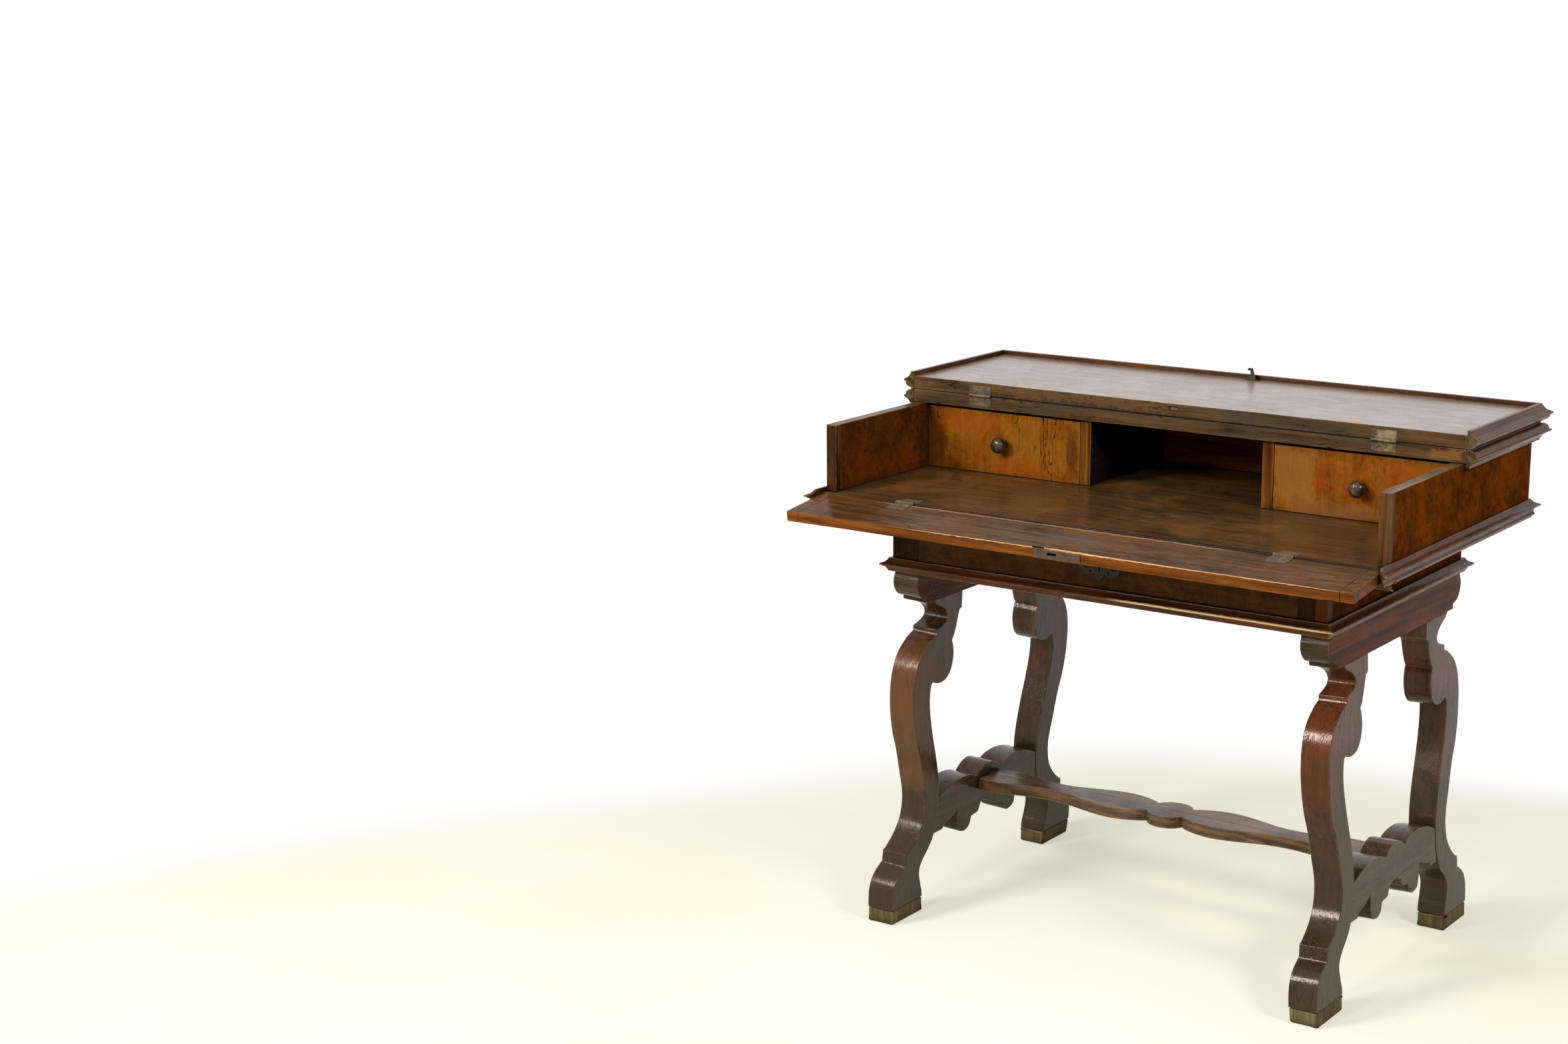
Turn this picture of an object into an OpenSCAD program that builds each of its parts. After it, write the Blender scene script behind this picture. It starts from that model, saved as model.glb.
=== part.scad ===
// Drop-front writing desk on a trestle stand, shown open: the front half of the
// top is folded back and the drop front lies level with the writing board.
// X runs left to right, the front faces -Y and Z is up from the floor.

/* [Heights] */
// Level of the writing board above the floor
write_z = 728; // [640:1:800]
// Height of the space under the top
upper_h = 110; // [95:1:140]

/* [Upper case] */
// Outer width over the two side panels
upper_w = 983; // [900:1:1080]
// Front ends of the side panels, ahead of the middle of the stand
front_d = 296; // [270:1:320]
// Back of the upper case, behind the middle of the stand
back_d = 258; // [235:1:300]
// Thickness of the side panels and of the back
panel_t = 20; // [14:1:28]
// How much thinner the writing board is than the drop front, whose moulding swings under it
board_step = 3.5; // [3.3:0.1:6]
// Depth of the strip that finishes the front end of each side panel
lipping_d = 12; // [6:1:20]
// Distance from the middle to the near face of each divider
divider_x = 154.5; // [100:0.5:220]
// Thickness of a divider
divider_t = 20; // [12:1:28]
// How far the dividers and small drawers stand in front of the middle
drawer_face_d = 20; // [5:1:60]

/* [Top] */
// Thickness of the fixed top board and of the folding one
top_t = 22; // [16:1:30]
// Distance of the hinge line of the top ahead of the middle of the stand
seam_d = 31; // [22:0.5:60]
// Thickness of the moulding strip round the top
edge_t = 20; // [17:0.5:26]
// Height of the moulding strip round the top
edge_h = 29; // [27:0.5:36]
// Space between the side panels and the moulding strip
edge_gap = 3.5; // [1:0.5:8]
// Space between the folded top and the fixed top
fold_gap = 0.3; // [0.2:0.1:2]
// Width of the seam between two boards that meet at a hinge
seam_w = 0.8; // [0.4:0.1:1.2]

/* [Drop front] */
// Thickness of the drop front
flap_t = 17.5; // [17.5:0.5:22]
// How far each end of the drop front stands back from the outside of the side panels
flap_side_gap = 2.5; // [1:0.5:10]
// Space between the side panels and the closed drop front
flap_gap = 10; // [4:0.5:16]
// Space between the closed drop front and the top
flap_top_gap = 3.5; // [0.5:0.5:6]
// Sag of the open drop front below level, in degrees
droop = 7; // [0:0.5:7]
// Width of the cross strip at each end of the drop front
cleat_w = 22; // [14:1:60]

/* [Mouldings] */
// How far the base moulding stands out
base_t = 15.5; // [12:0.5:18]
// Height of the base moulding above the writing level
base_rise = 7; // [4:0.5:12]
// Depth of the base moulding below the writing level
base_drop = 23; // [20:0.5:26]
// How far the lower moulding stands out
foot_mould_t = 16.5; // [12:0.5:20]

/* [Lower case] */
// Outer width of the lower case
lower_w = 768; // [700:1:840]
// How far the lower case stands behind the front ends of the side panels
lower_setback = 35; // [32:1:60]
// Height of the large drawer's front
large_h = 65; // [50:1:90]
// Thickness of its floor, which the lower moulding covers
floor_t = 22; // [20:1:30]
// Width of a front corner post
post_w = 48; // [30:1:70]
// Thickness of the walls, posts and rail of the lower case
wall_t = 20; // [14:1:28]
// Height of the rail above the large drawer
rail_h = 24; // [18:1:30]

/* [Drawers] */
// Clearance round a drawer in its opening
drawer_gap = 0.5; // [0.3:0.1:2]
// Thickness of a small drawer's front
small_front_t = 18; // [12:1:22]
// Thickness of the large drawer's front
large_front_t = 20; // [16:1:26]
// Thickness of drawer sides and backs
drawer_side_t = 10; // [7:0.5:14]
// Thickness of drawer bottoms
drawer_bottom_t = 6; // [4:0.5:10]
// Shadow gap above the small drawer fronts
small_top_gap = 5; // [1:0.5:15]
// Diameter of a drawer knob
knob_d = 27; // [18:1:36]
// How far a knob stands out
knob_l = 26; // [22:1:30]
// Height of a knob above the writing board
knob_rise = 52; // [40:1:60]
// Diameter of the dowel that fixes a knob
knob_dowel = 7; // [5:0.5:9]

/* [Trestles] */
// Thickness of the legs and of the board above them
leg_t = 48; // [36:1:60]
// Outward lean of each trestle in degrees
lean = 2.3; // [0:0.1:4]
// How far the trestles stand out past the sides of the lower case
trestle_out = 2; // [0:0.5:6]
// Height of the board above the legs
head_h = 56; // [44:1:70]
// How far that board stands behind the front of the lower case
head_inset = 5; // [0:0.5:20]
// Distance from the end of that board to the line of its leg
leg_inset = 56; // [50:1:75]
// How far a foot reaches out past the line of its leg
leg_reach = 96; // [80:1:110]
// Height of the scrolls at the top of a leg
scroll_h = 148; // [120:1:170]
// Height of a foot up to its step
foot_h = 119; // [100:1:135]
// Height of the pad under each foot
pad_h = 26; // [12:1:36]

/* [Stretchers] */
// Top of the long stretcher
stretcher_z = 192; // [180:1:230]
// Height of the scalloped stretchers
cross_h = 106; // [80:1:120]
// How far their faces stand back from those of the legs
cross_inset = 1; // [0.5:0.5:6]
// Thickness of the long stretcher
long_t = 20; // [16:1:26]
// Half width of the long stretcher at its middle
bulb_w = 42; // [36:1:60]

/* [Joinery] */
// Thickness of the tenons of the trestles
tenon_t = 16; // [8:1:24]
// Length of the tenons of the trestles
tenon_l = 26; // [14:1:32]
// Clearance between a tenon and its mortice
tenon_gap = 0.2; // [0.1:0.1:0.5]

/* [Hinges] */
// Width of a hinge of the folding top
top_hinge_w = 41; // [30:1:60]
// Length of one leaf of that hinge, let into the edge of the board
top_leaf_l = 17; // [12:0.5:20]
// Distance from the middle to each hinge of the top
top_hinge_x = 362; // [250:1:420]
// Width of a hinge of the drop front
flap_hinge_w = 33; // [24:1:50]
// Length of one leaf of that hinge
flap_leaf_l = 30; // [20:1:45]
// Distance from the middle to each hinge of the drop front
flap_hinge_x = 331; // [250:1:400]
// Thickness of a hinge leaf
leaf_t = 1.6; // [1:0.1:2]
// Radius of a hinge knuckle
knuckle_r = 3.2; // [2.6:0.1:3.6]
// Diameter of a hinge pin
pin_d = 3; // [2:0.1:3.4]
// Clearance round a hinge pin
pin_gap = 0.05; // [0.02:0.01:0.1]

/* [Locks] */
// Width of the lock plate on the drop front
plate_w = 80; // [60:1:100]
// How far the lock of the drop front stands to the right of its keyhole
plate_shift = 9; // [0:0.5:12]
// Width of the body of a lock
lock_w = 66; // [50:1:70]
// Thickness of a lock body
lock_t = 9; // [8:0.5:10]
// Distance from the edge of the drop front to its keyhole
key_d = 46.5; // [40:0.5:52]
// Distance from the top edge of the large drawer's front to its keyhole
drawer_key_d = 29; // [25:0.5:33]
// Depth of a lock body below its keyhole
lock_below_key = 12; // [11:0.5:16]
// Length of the catch on the folding top
catch_l = 20; // [18:0.5:28]
// Width of that catch
catch_w = 14; // [12:1:20]
// Thickness of that catch
catch_t = 3; // [2:0.5:4]
// Width of an escutcheon
plate_span = 72; // [50:1:90]
// Height of an escutcheon
plate_rise = 40; // [34:1:44]

/* [Hidden] */

$fn = 48;
eps = 0.02;
far = 2000;

walnut = "#5a3020";
dark_walnut = "#43261b";
burr = "#a3560f";
gold_burr = "#b47a22";
glare_walnut = "#9a7f70";
worn_wood = "#8a6a3c";
secondary_wood = "#6b4a2a";
iron = "#4a4742";
brass = "#a8925a";

// Levels
board_t = flap_t - board_step;
board_z = write_z - board_t;
rail_z = board_z - rail_h;
floor_z = rail_z - large_h - 2 * drawer_gap;
lower_z = floor_z - floor_t;
head_z = lower_z - head_h;
case_top_z = write_z + upper_h;
top_z = case_top_z + top_t;
axis_z = top_z + fold_gap / 2;

// Lines from front to back
hinge_y = -front_d - flap_gap;
flap_face_y = hinge_y - flap_t;
strip_front_y = flap_face_y - edge_gap / 2;
strip_back_y = back_d + edge_gap / 2;
seam_y = -seam_d;
lower_front_y = -front_d + lower_setback;
lower_back_y = back_d;
head_l = -lower_front_y - head_inset;
stance = head_l - leg_inset;

// Half widths
side_x = upper_w / 2;
inner_x = side_x - panel_t;
strip_x = side_x + edge_gap;
flap_x = side_x - flap_side_gap;
lower_x = lower_w / 2;
post_x = lower_x - post_w;
trestle_x = lower_x + trestle_out;

// The drop front, standing closed
flap_low_z = write_z + seam_w / 2;
flap_top_z = case_top_z - flap_top_gap;
flap_mid_y = hinge_y - flap_t / 2;

// The origin is under the middle of the open desk's outline
open_front_y = hinge_y - (flap_top_z - write_z) * cos(droop);
folded_back_y = 2 * seam_y - strip_front_y + edge_t;
middle_y = (open_front_y + max(folded_back_y, stance + leg_reach)) / 2;

module set_on_origin() {
    translate([0, -middle_y, 0]) children();
}

// Shapes of outlines

function spline(p, n = 4) = [
    for (i = [0 : len(p) - 2])
        let (a = p[max(i - 1, 0)], b = p[i], c = p[i + 1], d = p[min(i + 2, len(p) - 1)])
        for (k = [0 : i == len(p) - 2 ? n : n - 1])
            let (t = k / n)
            b + t * (c - a) / 2 + t * t * (2 * a - 5 * b + 4 * c - d) / 2
              + t * t * t * (3 * b - a - 3 * c + d) / 2
];
function mirrored(p) = [for (i = [len(p) - 1 : -1 : 0]) [-p[i][0], p[i][1]]];
function shifted(p, d) = [for (q = p) q + d];

// Section of the moulding round the top: inner face at 0, top at 0
function edge_profile(t, h) = concat(
    [[0, 0], [t - 14, 0]],
    spline([[t - 14, -1.5], [t - 9, -2.5], [t - 5, -6], [t - 3.2, -11]]),
    spline([[t - 2.6, -11.6], [t - 0.7, -12], [t, -13.5], [t - 0.7, -15.2], [t - 3, -16]]),
    spline([[t - 4, -17], [t - 8, -19], [t - 11, -22.5], [t - 12, -25]]),
    [[t - 14, -25], [t - 14, -h], [0, -h]]
);

// Section of the base moulding, with a nose above a cove and a bead
function base_profile(t, h) = concat(
    [[0, 0], [t - 12.5, 0]],
    spline([[t - 12.5, -1], [t - 9.5, -4.5], [t - 5.5, -7], [t - 2.5, -8]]),
    spline([[t - 2.2, -8.6], [t - 0.5, -9], [t, -10.3], [t - 0.5, -11.6], [t - 3, -12.4]]),
    spline([[t - 4, -13.5], [t - 7, -15.5], [t - 8.5, -h + 11], [t - 8.7, -h + 8.5]]),
    spline([[t - 8, -h + 8], [t - 7, -h + 5.5], [t - 8, -h + 3]]),
    [[t - 10.5, -h + 2.5], [t - 10.5, -h], [0, -h]]
);

// Section of the lower moulding
function foot_profile(t, h) = concat(
    [[0, 0], [t - 11.5, 0]],
    spline([[t - 11.5, -1], [t - 9, -4.5], [t - 5.5, -7], [t - 2.5, -8]]),
    spline([[t - 2.2, -8.6], [t - 0.5, -9], [t, -10.3], [t - 0.5, -11.6], [t - 3, -12.4]]),
    spline([[t - 4, -13.5], [t - 7.5, -15.5], [t - 9, -h + 3]]),
    [[t - 10.5, -h + 2.5], [t - 10.5, -h], [0, -h]]
);

// A strip along X that faces +Y, with mitred or square ends. A hairline is left
// at each mitre, so that every strip is a piece of its own.
mitre_gap = 0.05;
module strip_run(length, profile, depth, mitre_a, mitre_b, reach) {
    start = mitre_a * mitre_gap;
    end = length - mitre_b * mitre_gap;
    intersection() {
        translate([-depth, 0, 0])
            rotate([90, 0, 90])
                linear_extrude(length + 2 * depth)
                    polygon(profile);
        translate([0, 0, -reach])
            linear_extrude(2 * reach)
                polygon([
                    [start, 0],
                    [start - mitre_a * depth, depth],
                    [end + mitre_b * depth, depth],
                    [end, 0]
                ]);
    }
}

// Strips round a rectangle, each facing outwards
module run_front(x, y, z, profile, depth, mitre) {
    translate([x, y, z])
        rotate([0, 0, 180])
            strip_run(2 * x, profile, depth, mitre, mitre, far);
}
module run_back(x, y, z, profile, depth) {
    translate([-x, y, z])
        strip_run(2 * x, profile, depth, 1, 1, far);
}
module run_right(x, y_back, y_front, z, profile, depth, mitre_back, mitre_front) {
    translate([x, y_back, z])
        rotate([0, 0, -90])
            strip_run(y_back - y_front, profile, depth, mitre_back, mitre_front, far);
}
module both_sides() {
    children();
    mirror([1, 0, 0]) children();
}

module box(x0, x1, y0, y1, z0, z1) {
    translate([x0, y0, z0]) cube([x1 - x0, y1 - y0, z1 - z0]);
}

// Cylinder along X from x0 to x1 round the line (y, z)
module bar_x(x0, x1, y, z, r) {
    translate([x0, y, z]) rotate([0, 90, 0]) cylinder(h = x1 - x0, r = r);
}

// A hinge lying flat: pin line along X, fixed leaf towards +Y, face up.
// set is how far the leaves lie below the pin line.
knuckle_gap = 0.2;
module hinge_leaf(w, l, set, moving) {
    seg = w / 3;
    dir = moving ? -1 : 1;
    difference() {
        union() {
            translate([-w / 2, dir > 0 ? 0 : -l, -leaf_t - set]) cube([w, l, leaf_t]);
            if (moving)
                bar_x(-seg / 2 + knuckle_gap, seg / 2 - knuckle_gap, 0, 0, knuckle_r);
            else
                for (s = [-1, 1])
                    bar_x(s > 0 ? seg / 2 : -w / 2, s > 0 ? w / 2 : -seg / 2, 0, 0, knuckle_r);
        }
        if (moving)
            for (s = [-1, 1])
                bar_x(s > 0 ? seg / 2 - knuckle_gap : -w / 2 - 1,
                      s > 0 ? w / 2 + 1 : -seg / 2 + knuckle_gap, 0, 0, knuckle_r + knuckle_gap);
        else
            bar_x(-seg / 2, seg / 2, 0, 0, knuckle_r + knuckle_gap);
        bar_x(-w, w, 0, 0, pin_d / 2 + pin_gap);
    }
}
module hinge_pin(w) {
    bar_x(-w / 2, w / 2, 0, 0, pin_d / 2);
}
// The space that one leaf and the knuckles take out of the wood
module hinge_recess(w, l, set, moving) {
    fit = 0.1;
    translate([-w / 2 - fit, moving ? -l - fit : 0, -leaf_t - set - fit])
        cube([w + 2 * fit, l + fit, leaf_t + set + fit + 1]);
    bar_x(-w / 2 - fit, w / 2 + fit, 0, 0, knuckle_r + 0.3);
}
module at_top_hinges() {
    for (s = [-1, 1])
        translate([s * top_hinge_x, seam_y, axis_z])
            mirror([0, 1, 0]) rotate([-90, 0, 0]) children();
}
module at_flap_hinges() {
    for (s = [-1, 1])
        translate([s * flap_hinge_x, hinge_y, write_z]) children();
}

// Places that move: the closed shapes are drawn, then folded or dropped open
module folded() {
    translate([0, seam_y, axis_z]) rotate([180, 0, 0]) translate([0, -seam_y, -axis_z]) children();
}
module dropped() {
    translate([0, hinge_y, write_z]) rotate([90 + droop, 0, 0])
        translate([0, -hinge_y, -write_z]) children();
}

// Trestles. Their outlines lie in a plane: u to the back, v up. Points of a leg
// are shares of its reach to the side, and upwards of its foot, shaft or scrolls.

function at_foot(u, v) = [stance + u * leg_reach, v * foot_h];
function at_shaft(u, v) = [
    stance + u * leg_reach,
    foot_h + v * (head_z - scroll_h - foot_h)
];
function at_scroll(u, v) = [stance + u * leg_reach, head_z - v * scroll_h];

leg_outer = concat(
    [at_scroll(0.02, 0), at_scroll(-0.08, 0.06)],
    spline([at_scroll(-0.13, 0.07), at_scroll(-0.33, 0.14), at_scroll(-0.43, 0.21),
            at_scroll(-0.43, 0.26), at_scroll(-0.36, 0.3), at_scroll(-0.17, 0.34)]),
    [at_scroll(-0.1, 0.35), at_scroll(-0.1, 0.41)],
    spline([at_scroll(-0.05, 0.42), at_scroll(0.11, 0.47), at_scroll(0.35, 0.59),
            at_scroll(0.5, 0.76), at_scroll(0.56, 0.98), at_shaft(0.54, 0.87),
            at_shaft(0.45, 0.73), at_shaft(0.3, 0.6), at_shaft(0.17, 0.45),
            at_shaft(0.06, 0.32), at_shaft(0.05, 0.23), at_shaft(0.12, 0.14),
            at_shaft(0.3, 0.06), at_shaft(0.52, 0)]),
    [at_foot(0.59, 0.98), at_foot(0.61, 0.82)],
    spline([at_foot(0.67, 0.79), at_foot(0.81, 0.72), at_foot(0.93, 0.61),
            at_foot(0.99, 0.47), at_foot(1, 0.34), at_foot(0.99, 0.21),
            at_foot(0.97, 0.08), at_foot(0.93, -0.05)])
);
leg_inner = concat(
    spline([at_foot(0.03, -0.05), at_foot(0.02, 0.12), at_foot(0.03, 0.3), at_foot(0.08, 0.42)]),
    spline([at_foot(0.11, 0.5), at_foot(0.14, 0.6), at_foot(0.12, 0.7), at_foot(0.03, 0.8),
            at_foot(-0.13, 0.92), at_shaft(-0.27, 0.03), at_shaft(-0.38, 0.15),
            at_shaft(-0.4, 0.3), at_shaft(-0.35, 0.42), at_shaft(-0.24, 0.56),
            at_shaft(-0.1, 0.71), at_shaft(0, 0.85), at_shaft(0.02, 0.95),
            at_scroll(-0.01, 0.98)]),
    spline([at_scroll(-0.06, 0.96), at_scroll(-0.17, 0.99), at_scroll(-0.34, 1),
            at_scroll(-0.5, 0.97), at_scroll(-0.63, 0.88), at_scroll(-0.69, 0.74),
            at_scroll(-0.67, 0.62), at_scroll(-0.62, 0.54)]),
    spline([at_scroll(-0.68, 0.49), at_scroll(-0.74, 0.39), at_scroll(-0.79, 0.28),
            at_scroll(-0.82, 0.22)]),
    [at_scroll(-0.9, 0.19), at_scroll(-0.9, 0)]
);
module leg_outline() {
    polygon(concat(leg_outer, leg_inner));
}

function head_point(u, v) = [head_l - u * head_h, lower_z - v * head_h];
head_end = concat(
    [head_point(0.07, -0.2), head_point(0.07, 0.1)],
    spline([head_point(0.05, 0.14), head_point(0.01, 0.24), head_point(0, 0.36),
            head_point(0.03, 0.5), head_point(0.13, 0.66), head_point(0.3, 0.79),
            head_point(0.5, 0.85)]),
    [head_point(0.56, 0.86), head_point(0.58, 1)]
);
module head_outline() {
    polygon(concat(head_end, mirrored(head_end)));
}

// Half outline of the stretcher between two legs, from its middle outwards
cross_span = stance - 0.2 * leg_reach;
function cross_point(u, v) = [u * cross_span, stretcher_z + v * cross_h];
cross_half = concat(
    spline([cross_point(-0.02, 0.205), cross_point(0, 0.21), cross_point(0.08, 0.19),
            cross_point(0.16, 0.12), cross_point(0.205, 0.06)]),
    spline([cross_point(0.22, 0.07), cross_point(0.31, 0.13), cross_point(0.44, 0.16),
            cross_point(0.58, 0.15), cross_point(0.72, 0.1), cross_point(0.83, 0.03),
            cross_point(1, -0.1)]),
    [cross_point(1, -0.58), cross_point(0.82, -0.58)],
    spline([cross_point(0.79, -0.57), cross_point(0.77, -0.5)]),
    spline([cross_point(0.75, -0.5), cross_point(0.66, -0.46), cross_point(0.57, -0.4),
            cross_point(0.535, -0.36)]),
    spline([cross_point(0.53, -0.6), cross_point(0.5, -0.74), cross_point(0.43, -0.79),
            cross_point(0.37, -0.79), cross_point(0.31, -0.73), cross_point(0.28, -0.6)]),
    [cross_point(0.17, -0.58)],
    spline([cross_point(0.155, -0.56), cross_point(0.12, -0.44)]),
    spline([cross_point(0.11, -0.43), cross_point(0.055, -0.39), cross_point(-0.02, -0.38)])
);
module cross_outline() {
    polygon(cross_half);
    mirror([1, 0]) polygon(cross_half);
}

// Outline of the long stretcher: half width against distance from the middle
long_half = trestle_x + 2;
long_z = stretcher_z;
long_shape = [[0.085, 0.52], [0.11, 0.68], [0.165, 0.9], [0.235, 1.02], [0.31, 0.97],
              [0.4, 0.76], [0.49, 0.53], [0.58, 0.47], [0.67, 0.56], [0.76, 0.78],
              [0.84, 0.86], [1.1, 0.7]];
module long_outline() {
    lobe = spline([for (p = long_shape) [p[0] * long_half, p[1] * bulb_w]]);
    bulb = spline([[0, bulb_w], [0.04 * long_half, 0.92 * bulb_w],
                   [0.07 * long_half, 0.72 * bulb_w], [0.085 * long_half, 0.52 * bulb_w]], 4);
    quarter = concat([[0, 0]], bulb, lobe, [[1.1 * long_half, 0]]);
    for (a = [0, 1], b = [0, 1])
        mirror([a, 0]) mirror([0, b]) polygon(quarter);
}

// Places a trestle outline drawn in (u, v), thickness t, inset from the outer face
module leaning() {
    translate([trestle_x, 0, lower_z]) rotate([0, -lean, 0]) translate([-trestle_x, 0, -lower_z])
        children();
}
module trestle_plate(t, inset) {
    translate([trestle_x - inset - t, 0, 0])
        rotate([90, 0, 90])
            linear_extrude(t) children();
}
module above_floor(z0, z1) {
    intersection() {
        children();
        box(-far, far, -far, far, z0, z1);
    }
}

// Tenons of a trestle: grow is 0 for the tenon and tenon_gap for its mortice
cross_t = leg_t - 2 * cross_inset;
leg_tenon_w = 0.58 * leg_reach;
leg_tenon_u = stance - 0.44 * leg_reach;
cross_tenon_top = stretcher_z - 0.1 * cross_h;
cross_tenon_low = stretcher_z - 0.43 * cross_h;
cross_tenon_u = stance - 0.4 * leg_reach;
long_tenon_w = 1.05 * bulb_w;
long_tenon_t = long_t / 2;
module leg_tenon(grow) {
    box(trestle_x - (leg_t + tenon_t) / 2 - grow, trestle_x - (leg_t - tenon_t) / 2 + grow,
        leg_tenon_u - leg_tenon_w / 2 - grow, leg_tenon_u + leg_tenon_w / 2 + grow,
        head_z - 10, head_z + tenon_l + grow);
}
module cross_tenon(grow) {
    box(trestle_x - (leg_t + tenon_t) / 2 - grow, trestle_x - (leg_t - tenon_t) / 2 + grow,
        cross_tenon_u - 20, cross_tenon_u + tenon_l + grow,
        cross_tenon_low - grow, cross_tenon_top + grow);
}
module long_tenon(grow) {
    box(trestle_x - leg_t - 70, trestle_x - leg_t + tenon_l + grow,
        -long_tenon_w / 2 - grow, long_tenon_w / 2 + grow,
        long_z - (long_t + long_tenon_t) / 2 - grow, long_z - (long_t - long_tenon_t) / 2 + grow);
}
// The space beyond the inner face of a cross stretcher
module past_cross() {
    leaning() box(trestle_x - leg_t + cross_inset, far, -far, far, -far, far);
}

module head(side) {
    color(walnut) set_on_origin() mirror([side < 0 ? 1 : 0, 0, 0]) above_floor(0, lower_z)
        leaning() difference() {
            trestle_plate(leg_t, 0) head_outline();
            leg_tenon(tenon_gap);
            mirror([0, 1, 0]) leg_tenon(tenon_gap);
        }
}
module leg(side, back) {
    color(walnut) set_on_origin()
        mirror([side < 0 ? 1 : 0, 0, 0]) mirror([0, back ? 0 : 1, 0])
            above_floor(pad_h, lower_z)
                leaning() difference() {
                    union() {
                        trestle_plate(leg_t, 0) leg_outline();
                        leg_tenon(0);
                    }
                    cross_tenon(tenon_gap);
                }
}
module foot_pads() {
    color(worn_wood) set_on_origin() both_sides() above_floor(0, pad_h) leaning()
        for (m = [0, 1])
            mirror([0, m, 0]) trestle_plate(leg_t, 0) leg_outline();
}
module cross_stretcher(side) {
    color(dark_walnut) set_on_origin() mirror([side < 0 ? 1 : 0, 0, 0]) difference() {
        leaning() union() {
            trestle_plate(cross_t, cross_inset) difference() {
                cross_outline();
                leg_outline();
                mirror([1, 0]) leg_outline();
            }
            for (m = [0, 1])
                mirror([0, m, 0]) intersection() {
                    cross_tenon(0);
                    box(0, far, cross_tenon_u - 8, far, 0, far);
                }
        }
        long_tenon(tenon_gap);
    }
}
module long_stretcher() {
    color(dark_walnut) set_on_origin() union() {
        difference() {
            translate([0, 0, long_z - long_t]) linear_extrude(long_t) long_outline();
            past_cross();
            mirror([1, 0, 0]) past_cross();
        }
        both_sides() long_tenon(0);
    }
}

// Lower case

module lower_floor() {
    color(secondary_wood) set_on_origin()
        box(-lower_x, lower_x, lower_front_y, lower_back_y, lower_z, floor_z);
}
module lower_side(side) {
    color(burr) set_on_origin() mirror([side < 0 ? 1 : 0, 0, 0])
        box(lower_x - wall_t, lower_x, lower_front_y + wall_t, lower_back_y, floor_z, board_z);
}
module lower_back() {
    color(walnut) set_on_origin()
        box(-lower_x + wall_t, lower_x - wall_t, lower_back_y - wall_t, lower_back_y,
            floor_z, board_z);
}
module corner_posts() {
    color(walnut) set_on_origin() both_sides()
        box(post_x, lower_x, lower_front_y, lower_front_y + wall_t, floor_z, board_z);
}
bolt_w = 16;
bolt_t = 4;
module front_rail() {
    color(walnut) set_on_origin() difference() {
        box(-post_x, post_x, lower_front_y, lower_front_y + wall_t, rail_z, board_z);
        box(-bolt_w / 2 - 1, bolt_w / 2 + 1, drawer_bolt_y - bolt_t / 2 - 1,
            drawer_bolt_y + bolt_t / 2 + 1, rail_z - 1, rail_z + bolt_throw + 2);
    }
}
guide_h = 16;
module drawer_guides() {
    color(secondary_wood) set_on_origin() both_sides()
        box(post_x, lower_x - wall_t, lower_front_y + wall_t, lower_back_y - wall_t,
            floor_z, floor_z + guide_h);
}
module lower_moulding() {
    profile = foot_profile(foot_mould_t, floor_t);
    color(walnut) set_on_origin() {
        run_front(lower_x, lower_front_y, floor_z, profile, foot_mould_t, 1);
        run_back(lower_x, lower_back_y, floor_z, profile, foot_mould_t);
        both_sides()
            run_right(lower_x, lower_back_y, lower_front_y, floor_z, profile, foot_mould_t, 1, 1);
    }
}

// Upper case

module writing_board() {
    color(walnut) set_on_origin() difference() {
        box(-side_x, side_x, hinge_y + seam_w / 2, back_d, board_z, write_z);
        at_flap_hinges() hinge_recess(flap_hinge_w, flap_leaf_l, 0, false);
    }
}
module upper_side(side) {
    color(burr) set_on_origin() mirror([side < 0 ? 1 : 0, 0, 0])
        box(inner_x, side_x, -front_d + lipping_d, back_d, write_z, case_top_z);
}
module side_lippings() {
    color(walnut) set_on_origin() both_sides()
        box(inner_x, side_x, -front_d, -front_d + lipping_d, write_z, case_top_z);
}
module upper_back() {
    color(walnut) set_on_origin()
        box(-inner_x, inner_x, back_d - panel_t, back_d, write_z, case_top_z);
}
module divider(side) {
    color(walnut) set_on_origin() mirror([side < 0 ? 1 : 0, 0, 0])
        box(divider_x, divider_x + divider_t, -drawer_face_d, back_d - panel_t,
            write_z, case_top_z);
}

// Where the base moulding of the drop front meets that of the sides, they part
// on a cone round the hinge line, so that the front one can swing clear.
base_h = base_rise + base_drop;
base_z = write_z + base_rise;
part_gap = 0.4;
module parting_cone(x0, r0) {
    grow = base_t + 6;
    translate([x0, hinge_y, write_z])
        rotate([0, 90, 0])
            cylinder(h = grow, r1 = r0, r2 = r0 + grow, $fn = 96);
}
// Everything behind the front moulding's face line, drawn along X
module behind_front_face() {
    profile = base_profile(base_t, base_h);
    translate([-far, flap_face_y, base_z])
        rotate([90, 0, 90])
            linear_extrude(2 * far)
                polygon(concat([[far, 0]], [for (p = profile) [-p[0], p[1]]], [[far, -base_h]]));
}
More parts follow.
